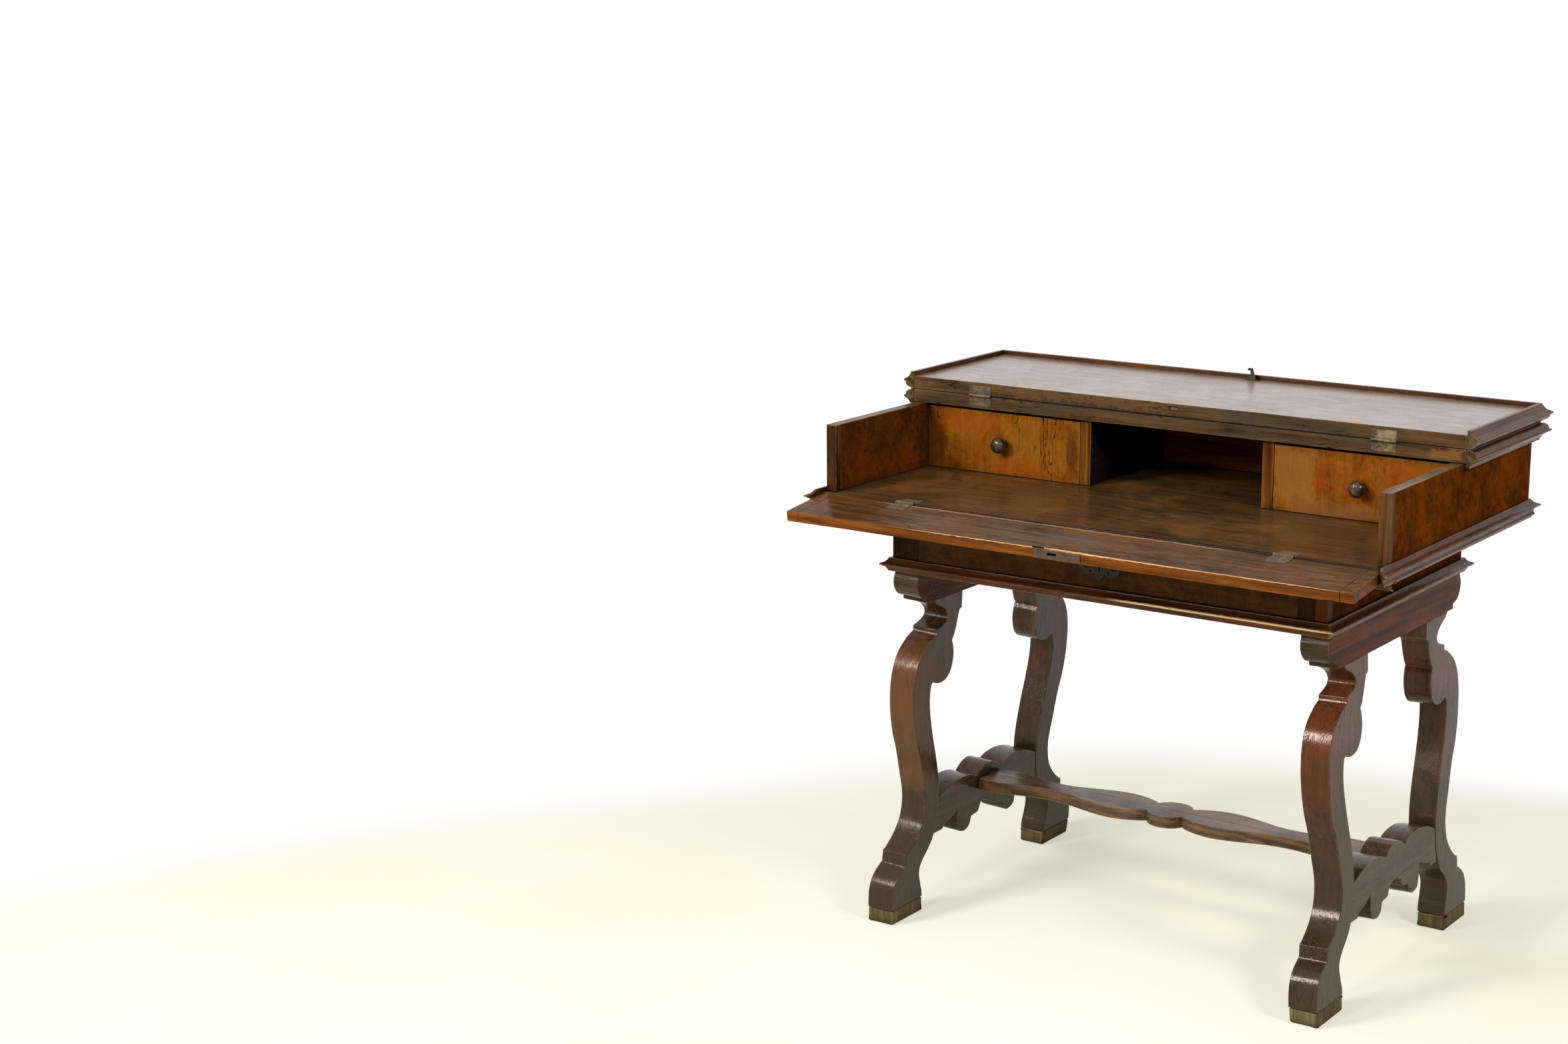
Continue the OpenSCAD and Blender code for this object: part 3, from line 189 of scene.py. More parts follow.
def wood(name, dark, mid, light, along=0, worn=(150, 100, 60), burr=0.0, rough=0.42, coat=0.15,
         dirt_and_shade=0.75, wear=0.7, seed=0.0, patch=None, patch_share=0.0, marks=(), dust=0.0, level=0.5,
         lines=1.0, radius=0.003, clouds=(), cracks=0.0, foot=None, relief_depth=0.0004, ripple=0.6):
    """Old waxed wood. along is the axis of its grain. marks are (centre, half, colour, strength, ragged),
    clouds are (colour, size, start, share) and foot is (high, low, colour, share), for legs that are
    discoloured towards the floor."""
    g = Graph(name)
    dark, mid, light, worn = srgb(*dark), srgb(*mid), srgb(*light), srgb(*worn)
    scale = list(EVEN)
    scale[along] = GRAIN_STRETCH
    shift = (seed, seed * 1.7, seed * 0.6)
    grain = g.mapped(scale, shift)
    whole = g.mapped(EVEN, shift)
    broad = g.noise(whole, 7.0, 3.0, 0.55)
    figure = g.noise(grain, 70.0, 6.0, 0.62, 1.2)
    wave = g.node("ShaderNodeTexWave", wave_type="BANDS", bands_direction="DIAGONAL")
    g.put(wave.inputs["Vector"], grain)
    wave.inputs["Scale"].default_value = 22.0
    wave.inputs["Distortion"].default_value = 9.0
    wave.inputs["Detail"].default_value = 3.0
    wave.inputs["Detail Scale"].default_value = 1.6
    bands = g.math("MULTIPLY", wave.outputs["Fac"], 0.2 * lines)
    tone = g.math("ADD", g.math("MULTIPLY", figure, 0.62), bands)
    tone = g.math("ADD", tone, g.math("MULTIPLY", broad, 0.34))
    if burr:
        swirl = g.noise(whole, 26.0, 6.0, 0.66, 2.6)
        cloud = g.noise(g.mapped((1.0, 1.0, 0.6), shift), 60.0, 4.0, 0.6, 1.4)
        eyes = g.node("ShaderNodeTexVoronoi", feature="F1")
        bend = g.noise(g.place, 40.0, 2.0, colour=True)
        bend = g.vector("ADD", g.place, g.vector("MULTIPLY", bend, (0.02, 0.02, 0.02)))
        g.put(eyes.inputs["Vector"], bend)
        eyes.inputs["Scale"].default_value = 75.0
        dots = g.math("MULTIPLY", g.span(eyes.outputs["Distance"], 0.30, 0.08), g.span(broad, 0.45, 0.6))
        lump = g.noise(whole, 15.0, 3.0, 0.55, 1.8)
        curl = g.math("ADD", g.math("MULTIPLY", swirl, 0.5), g.math("MULTIPLY", cloud, 0.3))
        curl = g.math("ADD", curl, g.math("MULTIPLY", lump, 0.55))
        curl = g.math("SUBTRACT", curl, g.math("MULTIPLY", dots, 0.16))
        tone = g.math("ADD", g.math("MULTIPLY", tone, 1.0 - burr), g.math("MULTIPLY", curl, burr))
    colour = g.ramp(tone, [(0.40, dark), (0.56, mid), (0.74, light)])
    for i, (ink, size, start, share) in enumerate(clouds):
        drift = g.noise(g.mapped(EVEN, (seed + 5.7 + 3.1 * i, 2.2 + i, 1.1)), size, 4.0, 0.6, 1.0)
        colour = g.mix(g.math("MULTIPLY", g.span(drift, start, start + 0.14), share), colour, srgb(*ink))
    pores = g.noise(grain, 620.0, 2.0, 0.7)
    streak = g.span(pores, 0.56, 0.72)
    colour = g.mix(g.math("MULTIPLY", streak, 0.5), colour, dark)
    blotch = g.noise(g.mapped(EVEN, (seed + 3.1, 0.4, 0.9)), 16.0, 5.0, 0.6, 0.6)
    if patch:
        colour = g.mix(g.math("MULTIPLY", g.span(blotch, 0.46, 0.6), patch_share), colour, srgb(*patch))
    open_air = g.crevices(0.035)
    rub = g.math("MULTIPLY", g.worn_edges(radius), g.span(open_air, 0.55, 0.85))
    rub = g.math("MULTIPLY", rub, g.span(blotch, 0.36, 0.58))
    scuff = g.span(g.noise(g.place, 140.0, 4.0, 0.7), 0.6, 0.72)
    colour = g.mix(g.math("MULTIPLY", rub, wear, clamp=True), colour, worn)
    colour = g.mix(g.math("MULTIPLY", scuff, 0.16 * wear), colour, worn)
    if dust:
        film = g.math("MULTIPLY", g.span(g.noise(g.place, 11.0, 4.0, 0.6), 0.35, 0.65), dust)
        colour = g.mix(film, colour, DUST)
    if foot:
        top, bottom, ink, share = foot
        axes = g.node("ShaderNodeSeparateXYZ")
        g.put(axes.inputs[0], g.place)
        rise = g.math("ADD", axes.outputs[2], g.math("MULTIPLY", g.math("SUBTRACT", broad, 0.5), 0.25))
        colour = g.mix(g.math("MULTIPLY", g.span(rise, top, bottom), share), colour, srgb(*ink))
    # Darker in corners and hollows, from the AO mask: dirt, and painted shade where the parts around shade
    # the wood
    darker_in_hollows = g.math("MULTIPLY", g.span(open_air, 0.75, 0.25), dirt_and_shade)
    colour = g.mix(darker_in_hollows, colour, SHADE_AND_DIRT)
    for centre, half, ink, strength, ragged in marks:
        share = g.math("MULTIPLY", g.spot(centre, half, ragged), strength)
        colour = g.mix(share, colour, srgb(*ink))
    gloss = g.math("ADD", g.math("MULTIPLY", g.span(blotch, 0.3, 0.7), 0.14), rough - 0.07)
    gloss = g.math("ADD", gloss, g.math("MULTIPLY", darker_in_hollows, 0.25))
    gloss = g.math("ADD", gloss, g.math("MULTIPLY", streak, 0.1))
    relief = g.math("SUBTRACT", g.math("MULTIPLY", figure, 0.5), g.math("MULTIPLY", streak, 0.45))
    relief = g.math("ADD", relief, g.math("MULTIPLY", g.noise(g.place, 45.0, 2.0), ripple))
    if cracks:
        scale[along] = CRACK_STRETCH
        crack = g.noise(g.mapped(scale, shift), 34.0, 3.0, 0.6, 0.8)
        crack = g.span(g.math("ABSOLUTE", g.math("SUBTRACT", crack, 0.5)), 0.014, 0.003)
        crack = g.math("MULTIPLY", crack, g.span(g.noise(g.place, 8.0, 2.0), 0.5, 0.6))
        colour = g.mix(g.math("MULTIPLY", crack, cracks), colour, DARK_CRACK)
        relief = g.math("SUBTRACT", relief, g.math("MULTIPLY", crack, 1.5))
    return g.finish(colour, gloss, relief, relief_depth, coat, level)


def metal(name, dark, light, rust, shine, metallic, marks=()):
    """Hand-worked metal with worn high places and tarnish in its corners. marks are as for wood."""
    g = Graph(name)
    spots = g.noise(g.place, 80.0, 5.0, 0.6)
    fine = g.noise(g.place, 420.0, 3.0, 0.6)
    colour = g.mix(g.span(spots, 0.4, 0.62), srgb(*dark), srgb(*light))
    colour = g.mix(g.math("MULTIPLY", g.span(fine, 0.52, 0.66), 0.55), colour, srgb(*rust))
    edge = g.worn_edges(0.0012, 0.2)
    colour = g.mix(g.math("MULTIPLY", edge, 0.5), colour, srgb(*light))
    darker_in_hollows = g.span(g.crevices(0.01), 0.7, 0.2)
    colour = g.mix(g.math("MULTIPLY", darker_in_hollows, 0.7), colour, TARNISH)
    for centre, half, ink, strength, ragged in marks:
        colour = g.mix(g.math("MULTIPLY", g.spot(centre, half, ragged), strength), colour, srgb(*ink))
    g.shader.inputs["Metallic"].default_value = metallic
    rough = g.math("ADD", g.math("MULTIPLY", spots, 0.3), shine)
    return g.finish(colour, rough, g.math("ADD", spots, g.math("MULTIPLY", fine, 0.4)), 0.0004)


LEG = dict(dark=(28, 17, 9), mid=(56, 37, 22), light=(84, 60, 38), worn=(150, 118, 80), lines=0.4)
RED = dict(dark=(38, 16, 6), mid=(74, 35, 13), light=(98, 50, 20), worn=(140, 92, 50), rough=0.3, coat=0.0,
           level=0.04, lines=0.5)
TRIM = dict(dark=(44, 21, 9), mid=(72, 37, 16), light=(94, 53, 25), worn=(172, 126, 78), wear=1.0,
            rough=0.22, coat=0.0, radius=0.0012, level=0.12, lines=0.6)
LINING = dict(dark=(94, 64, 37), mid=(118, 84, 50), light=(140, 104, 65), worn=(170, 134, 92), rough=0.62,
              coat=0.0, wear=0.4, level=0.12, lines=0.4)
AMBER = (88, 40, 11)
OLIVE = (48, 39, 27)

# Where the marks lie, in metres: the joint before the writing board, its level, the front edge of the
# folded top, the faces of the small drawers
JOINT_Y = -0.2478
WRITE_Z = 0.728
FOLD_Y = 0.027
DRAWER_Y = 0.04
TOP_HINGE_X = 0.362
FLAP_HINGE_X = 0.331


def on_upright(y, depth, rows):
    """Marks on an upright face. A row is x, z, half width, half height, colour, strength, ragged."""
    return [((x, y, z), (wide, depth, high), ink, strength, ragged)
            for x, z, wide, high, ink, strength, ragged in rows]


knees = [((x, -0.21, 0.42), (0.05, 0.06, 0.1), AMBER, 0.42, 0.06) for x in (-0.375, 0.375)]
knees.append(((-0.375, -0.2, 0.34), (0.05, 0.08, 0.14), (96, 62, 28), 0.45, 0.07))
knees += [((0.4, y, 0.5), (0.06, 0.09, 0.09), (92, 42, 20), 0.5, 0.06) for y in (-0.17, 0.28)]
edge_marks = on_upright(FOLD_Y, 0.005, [
    (0.0, 0.8742, 0.0105, 0.0044, (24, 15, 8), 0.9, 0.002),
    (0.002, 0.8736, 0.0075, 0.0024, (102, 80, 54), 0.8, 0.002),
    (0.0, 0.8602, 0.5, 0.0022, (22, 14, 8), 0.8, 0.003),
    (0.289, 0.861, 0.02, 0.003, (26, 18, 10), 0.75, 0.006),
    (0.462, 0.849, 0.03, 0.008, (126, 82, 40), 0.6, 0.012),
    (-0.18, 0.874, 0.2, 0.008, (108, 70, 36), 0.35, 0.03),
    (0.2, 0.868, 0.16, 0.012, (60, 56, 44), 0.4, 0.03),
])
joint_line = ((0.0, JOINT_Y, WRITE_Z), (0.49, 0.0062, 0.005), (12, 7, 4), 0.95, 0.003)
open_joint = ((0.36, JOINT_Y, WRITE_Z), (0.14, 0.0088, 0.005), (10, 6, 3), 0.85, 0.004)
rubbed_line = ((-0.06, -0.2568, 0.727), (0.36, 0.0024, 0.004), (160, 128, 92), 0.5, 0.008)
# A grey painted sheen in the middle of the writing flap, standing in for a reflection
painted_cold_sheen = ((0.0, -0.3, 0.715), (0.055, 0.018, 0.03), (66, 66, 66), 0.4, 0.04)
# A painted highlight along the worn upper ridge of the lower moulding's front
painted_ridge_highlight = ((0.22, -0.2196, 0.6137), (0.21, 0.004, 0.0021), (226, 190, 140), 0.85, 0.002)
# A painted highlight along the worn top arris of the flap's front edge
painted_arris_highlight = ((0.1, -0.3538, 0.7147), (0.4, 0.0022, 0.0016), (196, 160, 118), 0.8, 0.003)
seam = ((0.0, 0.0273, 0.86), (0.5, 0.0016, 0.03), (34, 24, 17), 0.85, 0.001)
knot = ((0.431, 0.15, 0.8603), (0.03, 0.018, 0.004), (78, 56, 44), 0.55, 0.012)
# Painted light: a lighter red strip at the outer end of the right corner post, past the edge of the flap's
# shadow
painted_light_on_post = ((0.3745, -0.2, 0.669), (0.012, 0.01, 0.06), (92, 42, 20), 0.8, 0.004)
side_stain = ((-0.49, 0.166, 0.83), (0.03, 0.03, 0.012), (34, 16, 8), 0.7, 0.01)
drawer_stains = on_upright(DRAWER_Y, 0.02, [
    (-0.455, 0.79, 0.026, 0.06, (78, 32, 8), 0.6, 0.03),
    (-0.39, 0.812, 0.06, 0.018, (126, 56, 8), 0.5, 0.04),
    (-0.30, 0.742, 0.05, 0.014, (128, 54, 8), 0.5, 0.03),
    (-0.19, 0.78, 0.012, 0.05, (70, 34, 10), 0.5, 0.02),
    (0.21, 0.79, 0.04, 0.05, (122, 84, 36), 0.6, 0.04),
    (0.3, 0.74, 0.11, 0.014, (112, 78, 46), 0.5, 0.03),
    (0.4, 0.8, 0.05, 0.03, (128, 58, 10), 0.5, 0.04),
])
brass_marks = on_upright(FOLD_Y, 0.02, [
    (-TOP_HINGE_X, 0.87, 0.026, 0.012, (54, 42, 27), 0.45, 0.01),
    (-TOP_HINGE_X, 0.849, 0.026, 0.009, (58, 45, 29), 0.55, 0.01),
    (0.366, 0.87, 0.018, 0.007, (140, 122, 90), 0.5, 0.01),
])
leaf_marks = [
    ((-FLAP_HINGE_X, -0.232, 0.73), (0.03, 0.0155, 0.01), (58, 40, 21), 0.8, 0.008),
    ((FLAP_HINGE_X, -0.227, 0.73), (0.03, 0.008, 0.01), (66, 50, 32), 0.6, 0.008),
]
looks = {
    "leg": wood("leg_walnut", along=2, patch=(88, 42, 18), patch_share=0.4, rough=0.17, coat=0.0,
                level=0.24, radius=0.004, marks=knees, foot=(0.42, 0.1, OLIVE, 0.8), cracks=0.6, **LEG),
    "across": wood("stretcher_walnut", along=1, dust=0.06, rough=0.2, coat=0.0, level=0.22, seed=1.3,
                   cracks=0.5, **LEG),
    "head": wood("head_walnut", along=1, seed=1.9, cracks=0.4, **RED),
    "long": wood("long_stretcher_walnut", along=0, dust=0.1, rough=0.3, coat=0.1, seed=2.2, level=0.25,
                 dark=(40, 24, 13), mid=(78, 50, 28), light=(106, 74, 44), worn=(158, 120, 78)),
    "frame_x": wood("frame_walnut_x", along=0, seed=3.7, **RED),
    "divider": wood("divider_walnut", along=2, seed=5.3, rough=0.34, coat=0.0, level=0.04, cracks=0.5,
                    dark=(60, 30, 8), mid=(96, 54, 17), light=(122, 76, 29), worn=(150, 104, 54)),
    # The corner posts are painted darker than the frame walnut: painted shade from the flap above them
    "post": wood("post_walnut_painted_shade", along=2, seed=5.9, level=0.04, rough=0.4, coat=0.0,
                 dark=(26, 13, 7), mid=(46, 24, 12), light=(66, 37, 20), worn=(110, 70, 40), lines=0.4,
                 marks=[painted_light_on_post]),
    "rim": wood("rim_walnut", along=1, seed=4.6, level=0.12, rough=0.34, coat=0.0, wear=1.0,
                dark=(44, 30, 16), mid=(80, 60, 38), light=(112, 88, 60), worn=(156, 126, 90)),
    "lipping": wood("lipping_walnut", along=2, seed=5.1, level=0.04, rough=0.34, coat=0.0, cracks=0.8,
                    dark=(34, 18, 8), mid=(64, 38, 18), light=(90, 60, 32), worn=(140, 104, 66)),
    "trim_x": wood("moulding_walnut_x", along=0, seed=6.1, marks=[painted_ridge_highlight], **TRIM),
    "trim_y": wood("moulding_walnut_y", along=1, seed=7.9, **TRIM),
    "trim_end": wood("moulding_end_walnut", along=1, seed=8.3, rough=0.34, coat=0.0, level=0.06,
                     dark=(38, 30, 18), mid=(64, 52, 33), light=(88, 74, 50), worn=(140, 112, 78)),
    "side": wood("side_burr", along=0, burr=0.8, seed=0.0, rough=0.34, coat=0.0, level=0.0, cracks=0.5,
                 dark=(38, 15, 3), mid=(70, 32, 6), light=(98, 50, 11), worn=(120, 74, 34),
                 clouds=[((50, 31, 8), 12.0, 0.45, 0.5), ((112, 50, 4), 9.0, 0.52, 0.5)],
                 marks=[side_stain]),
    "small": wood("small_drawer_burr", along=2, burr=0.7, seed=8.4, rough=0.34, coat=0.0, level=0.03,
                  dark=(60, 26, 5), mid=(102, 53, 8), light=(130, 78, 18), worn=(150, 104, 50), cracks=0.9,
                  clouds=[((112, 74, 14), 8.0, 0.46, 0.5), ((124, 48, 6), 7.0, 0.49, 0.5),
                          ((62, 30, 8), 12.0, 0.56, 0.5)], marks=drawer_stains),
    # The large drawer's burr, painted darker as shade from the flap above it
    "large": wood("large_drawer_burr_painted_shade", along=0, burr=0.7, seed=9.2, rough=0.36, coat=0.0, level=0.03,
                  dark=(30, 15, 8), mid=(55, 30, 12), light=(80, 48, 19), worn=(116, 78, 46),
                  clouds=[((52, 38, 12), 9.0, 0.48, 0.4), ((70, 28, 8), 7.0, 0.52, 0.4)]),
    "front": wood("drop_front_burr", along=0, burr=0.75, seed=10.7, rough=0.3, coat=0.0, level=0.1,
                  dark=(42, 18, 7), mid=(78, 38, 13), light=(108, 60, 22), worn=(140, 92, 50), cracks=0.5,
                  clouds=[((50, 26, 12), 8.0, 0.47, 0.65), ((96, 40, 10), 11.0, 0.52, 0.5)]),
    "desk": wood("writing_walnut", along=0, seed=11.9, rough=0.2, coat=0.0, dust=0.03, level=0.26,
                 cracks=0.5, dark=(46, 29, 11), mid=(70, 46, 18), light=(91, 64, 29), worn=(126, 96, 56),
                 lines=0.4, clouds=[((54, 42, 18), 9.0, 0.46, 0.6), ((104, 68, 30), 6.0, 0.51, 0.6)],
                 marks=[joint_line, open_joint]),
    "flap": wood("flap_inner_walnut", along=0, seed=12.6, rough=0.24, coat=0.0, dust=0.0, level=0.05,
                 dark=(54, 31, 12), mid=(84, 54, 25), light=(104, 70, 36), worn=(150, 108, 64), cracks=0.5,
                 lines=0.35, clouds=[((92, 50, 22), 8.0, 0.5, 0.4)],
                 marks=[painted_cold_sheen, rubbed_line, joint_line, open_joint]),
    "flap_edge": wood("flap_edge_walnut", along=0, seed=13.1, rough=0.3, coat=0.0, wear=0.15, level=0.04,
                      dark=(58, 27, 7), mid=(96, 52, 16), light=(122, 72, 26), worn=(160, 110, 60),
                      radius=0.0012, lines=0.5, dirt_and_shade=0.4, marks=[painted_arris_highlight]),
    "top": wood("top_walnut", along=0, seed=14.8, rough=0.28, coat=0.4, dust=0.16, level=0.5, lines=0.6,
                dark=(88, 68, 56), mid=(116, 94, 80), light=(138, 114, 98), worn=(160, 130, 104),
                relief_depth=0.00022, ripple=0.2, clouds=[((96, 70, 54), 6.0, 0.5, 0.5)],
                marks=[seam, knot]),
    "edge": wood("top_edge_walnut", along=0, seed=15.5, rough=0.4, coat=0.0, level=0.06, lines=0.5,
                 dark=(40, 28, 16), mid=(72, 52, 32), light=(94, 70, 45), worn=(132, 100, 64), cracks=0.9,
                 clouds=[((92, 54, 30), 14.0, 0.54, 0.45), ((56, 50, 37), 9.0, 0.5, 0.6)],
                 marks=edge_marks),
    "lining": wood("lining_wood", along=1, seed=16.4, **LINING),
    "lining_x": wood("lining_wood_x", along=0, seed=16.9, **LINING),
    "back": wood("back_boards", along=0, seed=17.2, rough=0.6, coat=0.0, wear=0.4, level=0.1, cracks=0.6,
                 dark=(50, 29, 15), mid=(76, 48, 27), light=(98, 67, 41), worn=(140, 104, 70), lines=0.5),
    # The back boards' face inside the pigeonhole, painted lighter than the outer back: painted light
    "painted_lit_back": wood("inner_back_boards_painted_light", along=0, seed=17.9, rough=0.6, coat=0.0, wear=0.2, level=0.02,
                       dark=(70, 32, 10), mid=(104, 54, 18), light=(130, 76, 32), worn=(140, 90, 50),
                       lines=0.5, dirt_and_shade=0.3),
    # The dividers' faces that don't face the front: a dark copy of the divider walnut, painted shade
    "shaded_inner_side": wood("inner_divider_painted_shade", along=1, seed=5.6, rough=0.5, coat=0.0, wear=0.2, level=0.02,
                       dark=(14, 10, 8), mid=(28, 20, 15), light=(46, 34, 25), worn=(80, 60, 40),
                       lines=0.3),
    "scroll": wood("scroll_walnut", along=0, seed=2.7, rough=0.24, coat=0.0, level=0.12, cracks=0.5,
                   lines=0.4, dark=(34, 25, 15), mid=(60, 47, 30), light=(86, 70, 48), worn=(136, 112, 78)),
    "pad": wood("foot_pad_wood", along=2, seed=18.6, rough=0.6, coat=0.0, wear=0.5, radius=0.003,
                level=0.08, dark=(62, 52, 33), mid=(98, 85, 57), light=(126, 111, 78),
                worn=(140, 116, 78), lines=0.3),
    "turned": wood("turned_walnut", along=1, seed=19.3, rough=0.14, coat=0.0, wear=0.4, radius=0.0015,
                   dark=(20, 13, 8), mid=(38, 26, 16), light=(62, 44, 28), worn=(124, 92, 62), level=0.5),
    "iron": metal("wrought_iron", (18, 14, 11), (42, 35, 29), (48, 30, 19), 0.4, 0.25),
    "lock_iron": metal("worn_lock_iron", (34, 22, 15), (66, 47, 35), (76, 44, 27), 0.45, 0.1),
    "sunk_iron": metal("sunk_iron", (58, 41, 24), (88, 73, 52), (68, 45, 24), 0.5, 0.05,
                       marks=leaf_marks),
    "brass": metal("old_brass", (50, 37, 21), (108, 92, 61), (66, 45, 24), 0.4, 0.2,
                   marks=brass_marks),
    "dark_iron": metal("dark_iron", (12, 10, 8), (28, 23, 19), (32, 21, 14), 0.45, 0.2),
}


# Pieces made from the solids: softened, slightly uneven edges

# Points within WELD metres are one, and so are faces within FLAT_ANGLE degrees
WELD = 3e-6
FLAT_ANGLE = 0.4


def split(b, axis, at, dist=1e-6):
    """Cuts every face that crosses a plane square to an axis."""
    normal = Vector((axis == 0, axis == 1, axis == 2))
    bmesh.ops.bisect_plane(b, geom=b.verts[:] + b.edges[:] + b.faces[:], dist=dist,
                           plane_co=normal * at, plane_no=normal)


def dress(node, body, slot, choose, bevel=0.0012, shortest=0.006, cuts=(), wobble=0.0002, step=14.0,
          segments=2, crease=32.0, sharp=30.0, beside=()):
    """A copy of a node's mesh with rounded, slightly uneven edges. choose is a look, or gives one for a
    face's middle and normal. cuts are (axis, pitch) for even splits, which wobble then moves. beside are
    places along X where faces are split, so that none has to go round a hole there."""
    mesh = nodes[node].data.copy()
    mesh.name = node + "_piece"
    b = bmesh.new()
    b.from_mesh(mesh)
    bmesh.ops.remove_doubles(b, verts=b.verts, dist=WELD)
    bmesh.ops.dissolve_limit(b, angle_limit=math.radians(FLAT_ANGLE), verts=b.verts, edges=b.edges)
    low = [min(v.co[i] for v in b.verts) for i in range(3)]
    high = [max(v.co[i] for v in b.verts) for i in range(3)]
    for at in beside:
        split(b, 0, at)
    if bevel:
        edges = [
            e for e in b.edges
            if len(e.link_faces) == 2 and e.is_convex and e.calc_length() > shortest
            and e.calc_face_angle(0) > math.radians(sharp)
        ]
        bmesh.ops.bevel(b, geom=edges, offset=bevel, offset_type="OFFSET", segments=segments,
                        profile=0.55, affect="EDGES", clamp_overlap=False, loop_slide=True)
    for axis, pitch in cuts:
        count = int((high[axis] - low[axis]) / pitch)
        for i in range(1, count + 1):
            split(b, axis, low[axis] + (high[axis] - low[axis]) * i / (count + 1))
    if wobble:
        b.normal_update()
        moved = [(v, v.co - v.normal * (wobble + noise.noise(v.co * step) * wobble)) for v in b.verts]
        for v, co in moved:
            v.co = [min(max(co[i], low[i]), high[i]) for i in range(3)]
    b.normal_update()
    kinds = []
    for f in b.faces:
        kind = choose(f.calc_center_median(), f.normal) if callable(choose) else choose
        if kind not in kinds:
            kinds.append(kind)
        f.material_index = kinds.index(kind)
        f.smooth = True
    mesh.materials.clear()
    for kind in kinds:
        mesh.materials.append(looks[kind])
    b.to_mesh(mesh)
    b.free()
    mesh.set_sharp_from_angle(angle=math.radians(crease))
    piece = bpy.data.objects.new(node + "_piece", mesh)
    bpy.context.scene.collection.objects.link(piece)
    even = piece.modifiers.new("even", "WEIGHTED_NORMAL")
    even.keep_sharp = True
    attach(piece, body)
    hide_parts(node)


def paint(node, look):
    """A solid that keeps its shape gets a better material."""
    o = nodes[node]
    if not o.material_slots:
        o.data.materials.append(looks[look])
    for s in o.material_slots:
        s.material = looks[look]


def along_run(x_limit, cut_y=-math.inf):
    """Front and back strips of a moulding have their grain along X, those at the sides, past x_limit, along
    Y. What faces the front before cut_y is end grain."""
    def choose(middle, normal):
        if middle.y < cut_y and normal.y < -MOSTLY:
            return "trim_end"
        return "trim_y" if abs(middle.x) > x_limit and abs(normal.y) < MOSTLY else "trim_x"
    return choose


# A face counts as facing one way where the share of its normal that way passes one of these
MOSTLY, RIM, TURNED = 0.7, 0.6, 0.5

# How the mouldings are split, where their side strips begin, and before which Y they show end grain
run = dict(bevel=0, cuts=[(0, 0.022), (1, 0.022)], wobble=0.0002, step=30.0)
lower_edge_x, base_edge_x, top_edge_x = 0.3845, 0.4920, 0.4955
base_end_y, top_end_y = -0.27, 0.1

case = "case"
for side in ("left", "right"):
    for end in ("front", "back"):
        dress(f"{end}_leg_{side}", case, "walnut", "leg", bevel=0.0016, shortest=0.001, segments=3,
              wobble=0.00025, step=20.0)
    dress(f"head_{side}", case, "walnut", lambda m, n: "head" if abs(n.x) > MOSTLY else "scroll",
          bevel=0.0016, shortest=0.0008, segments=3)
    dress(f"cross_stretcher_{side}", case, "dark walnut", "across", bevel=0.0014, shortest=0.001,
          segments=3)
    dress(f"upper_side_{side}", case, "burr walnut", lambda m, n: "rim" if n.z > RIM else "side",
          bevel=0.001, cuts=[(1, 0.04)])
    dress(f"lower_side_{side}", case, "burr walnut", "side", bevel=0.0008, cuts=[(1, 0.05)])
    # Faces of the dividers that don't face the front get the painted shade
    dress(f"divider_{side}", case, "walnut", lambda m, n: "divider" if n.y < -TURNED else "shaded_inner_side",
          bevel=0.0012, cuts=[(2, 0.02)])
    drawer = f"{side}_drawer"
    dress(f"{drawer}_front", drawer, "golden burr", "small", bevel=0.0013, cuts=[(0, 0.03)], crease=25.0)
    dress(f"{drawer}_sides", drawer, "drawer linings", "lining", bevel=0.001)
    dress(f"{drawer}_back", drawer, "drawer linings", "lining_x", bevel=0.001)
    dress(f"{drawer}_bottom", drawer, "drawer linings", "lining", bevel=0.0005)
    paint(f"{drawer}_knob", "turned")
dress("foot_pads", case, "worn feet", "pad", bevel=0.004, shortest=0.002, segments=3, wobble=0.0004,
      step=60.0)
dress("long_stretcher", case, "dark walnut", "long", bevel=0.0016, shortest=0.001, segments=3)
dress("lower_floor", case, "drawer linings", "back", bevel=0.0006)
dress("lower_back", case, "walnut", "back", bevel=0.001, cuts=[(0, 0.06)])
dress("corner_posts", case, "walnut", "post", bevel=0.0009, cuts=[(2, 0.02)])
dress("front_rail", case, "walnut", "frame_x", bevel=0.0008, cuts=[(0, 0.04)])
dress("drawer_guides", case, "drawer linings", "lining", bevel=0.0008)
dress("lower_moulding", case, "walnut", along_run(lower_edge_x), **run)
dress("writing_board", case, "walnut", lambda m, n: "desk" if n.z > TURNED else "frame_x",
      bevel=0.0009, cuts=[(0, 0.04)])
dress("side_lippings", case, "walnut", lambda m, n: "rim" if n.z > RIM else "lipping", bevel=0.0014,
      cuts=[(2, 0.015)], wobble=0.0004)
# The front face of the back boards gets the painted light
dress("upper_back", case, "walnut", lambda m, n: "painted_lit_back" if n.y < -TURNED else "back", bevel=0.001,
      cuts=[(0, 0.06)])
dress("base_moulding", case, "walnut", along_run(base_edge_x, base_end_y), **run)
for name, body in (("fixed_top", case), ("folding_top", "folding_top")):
    dress(name, body, "faded walnut", lambda m, n: "top" if abs(n.z) > TURNED else "edge",
          bevel=0.0013, cuts=[(0, 0.025)], wobble=0.0004)
    dress(f"{name}_moulding", body, "dark walnut", along_run(top_edge_x, top_end_y), **run)
for name in ("drop_front", "drop_front_cleats"):
    dress(name, "drop_front", "walnut",
          lambda m, n: "flap" if n.z > MOSTLY else "front" if n.z < -MOSTLY else "flap_edge",
          bevel=0.0015, cuts=[(0, 0.025)], wobble=0.0004)
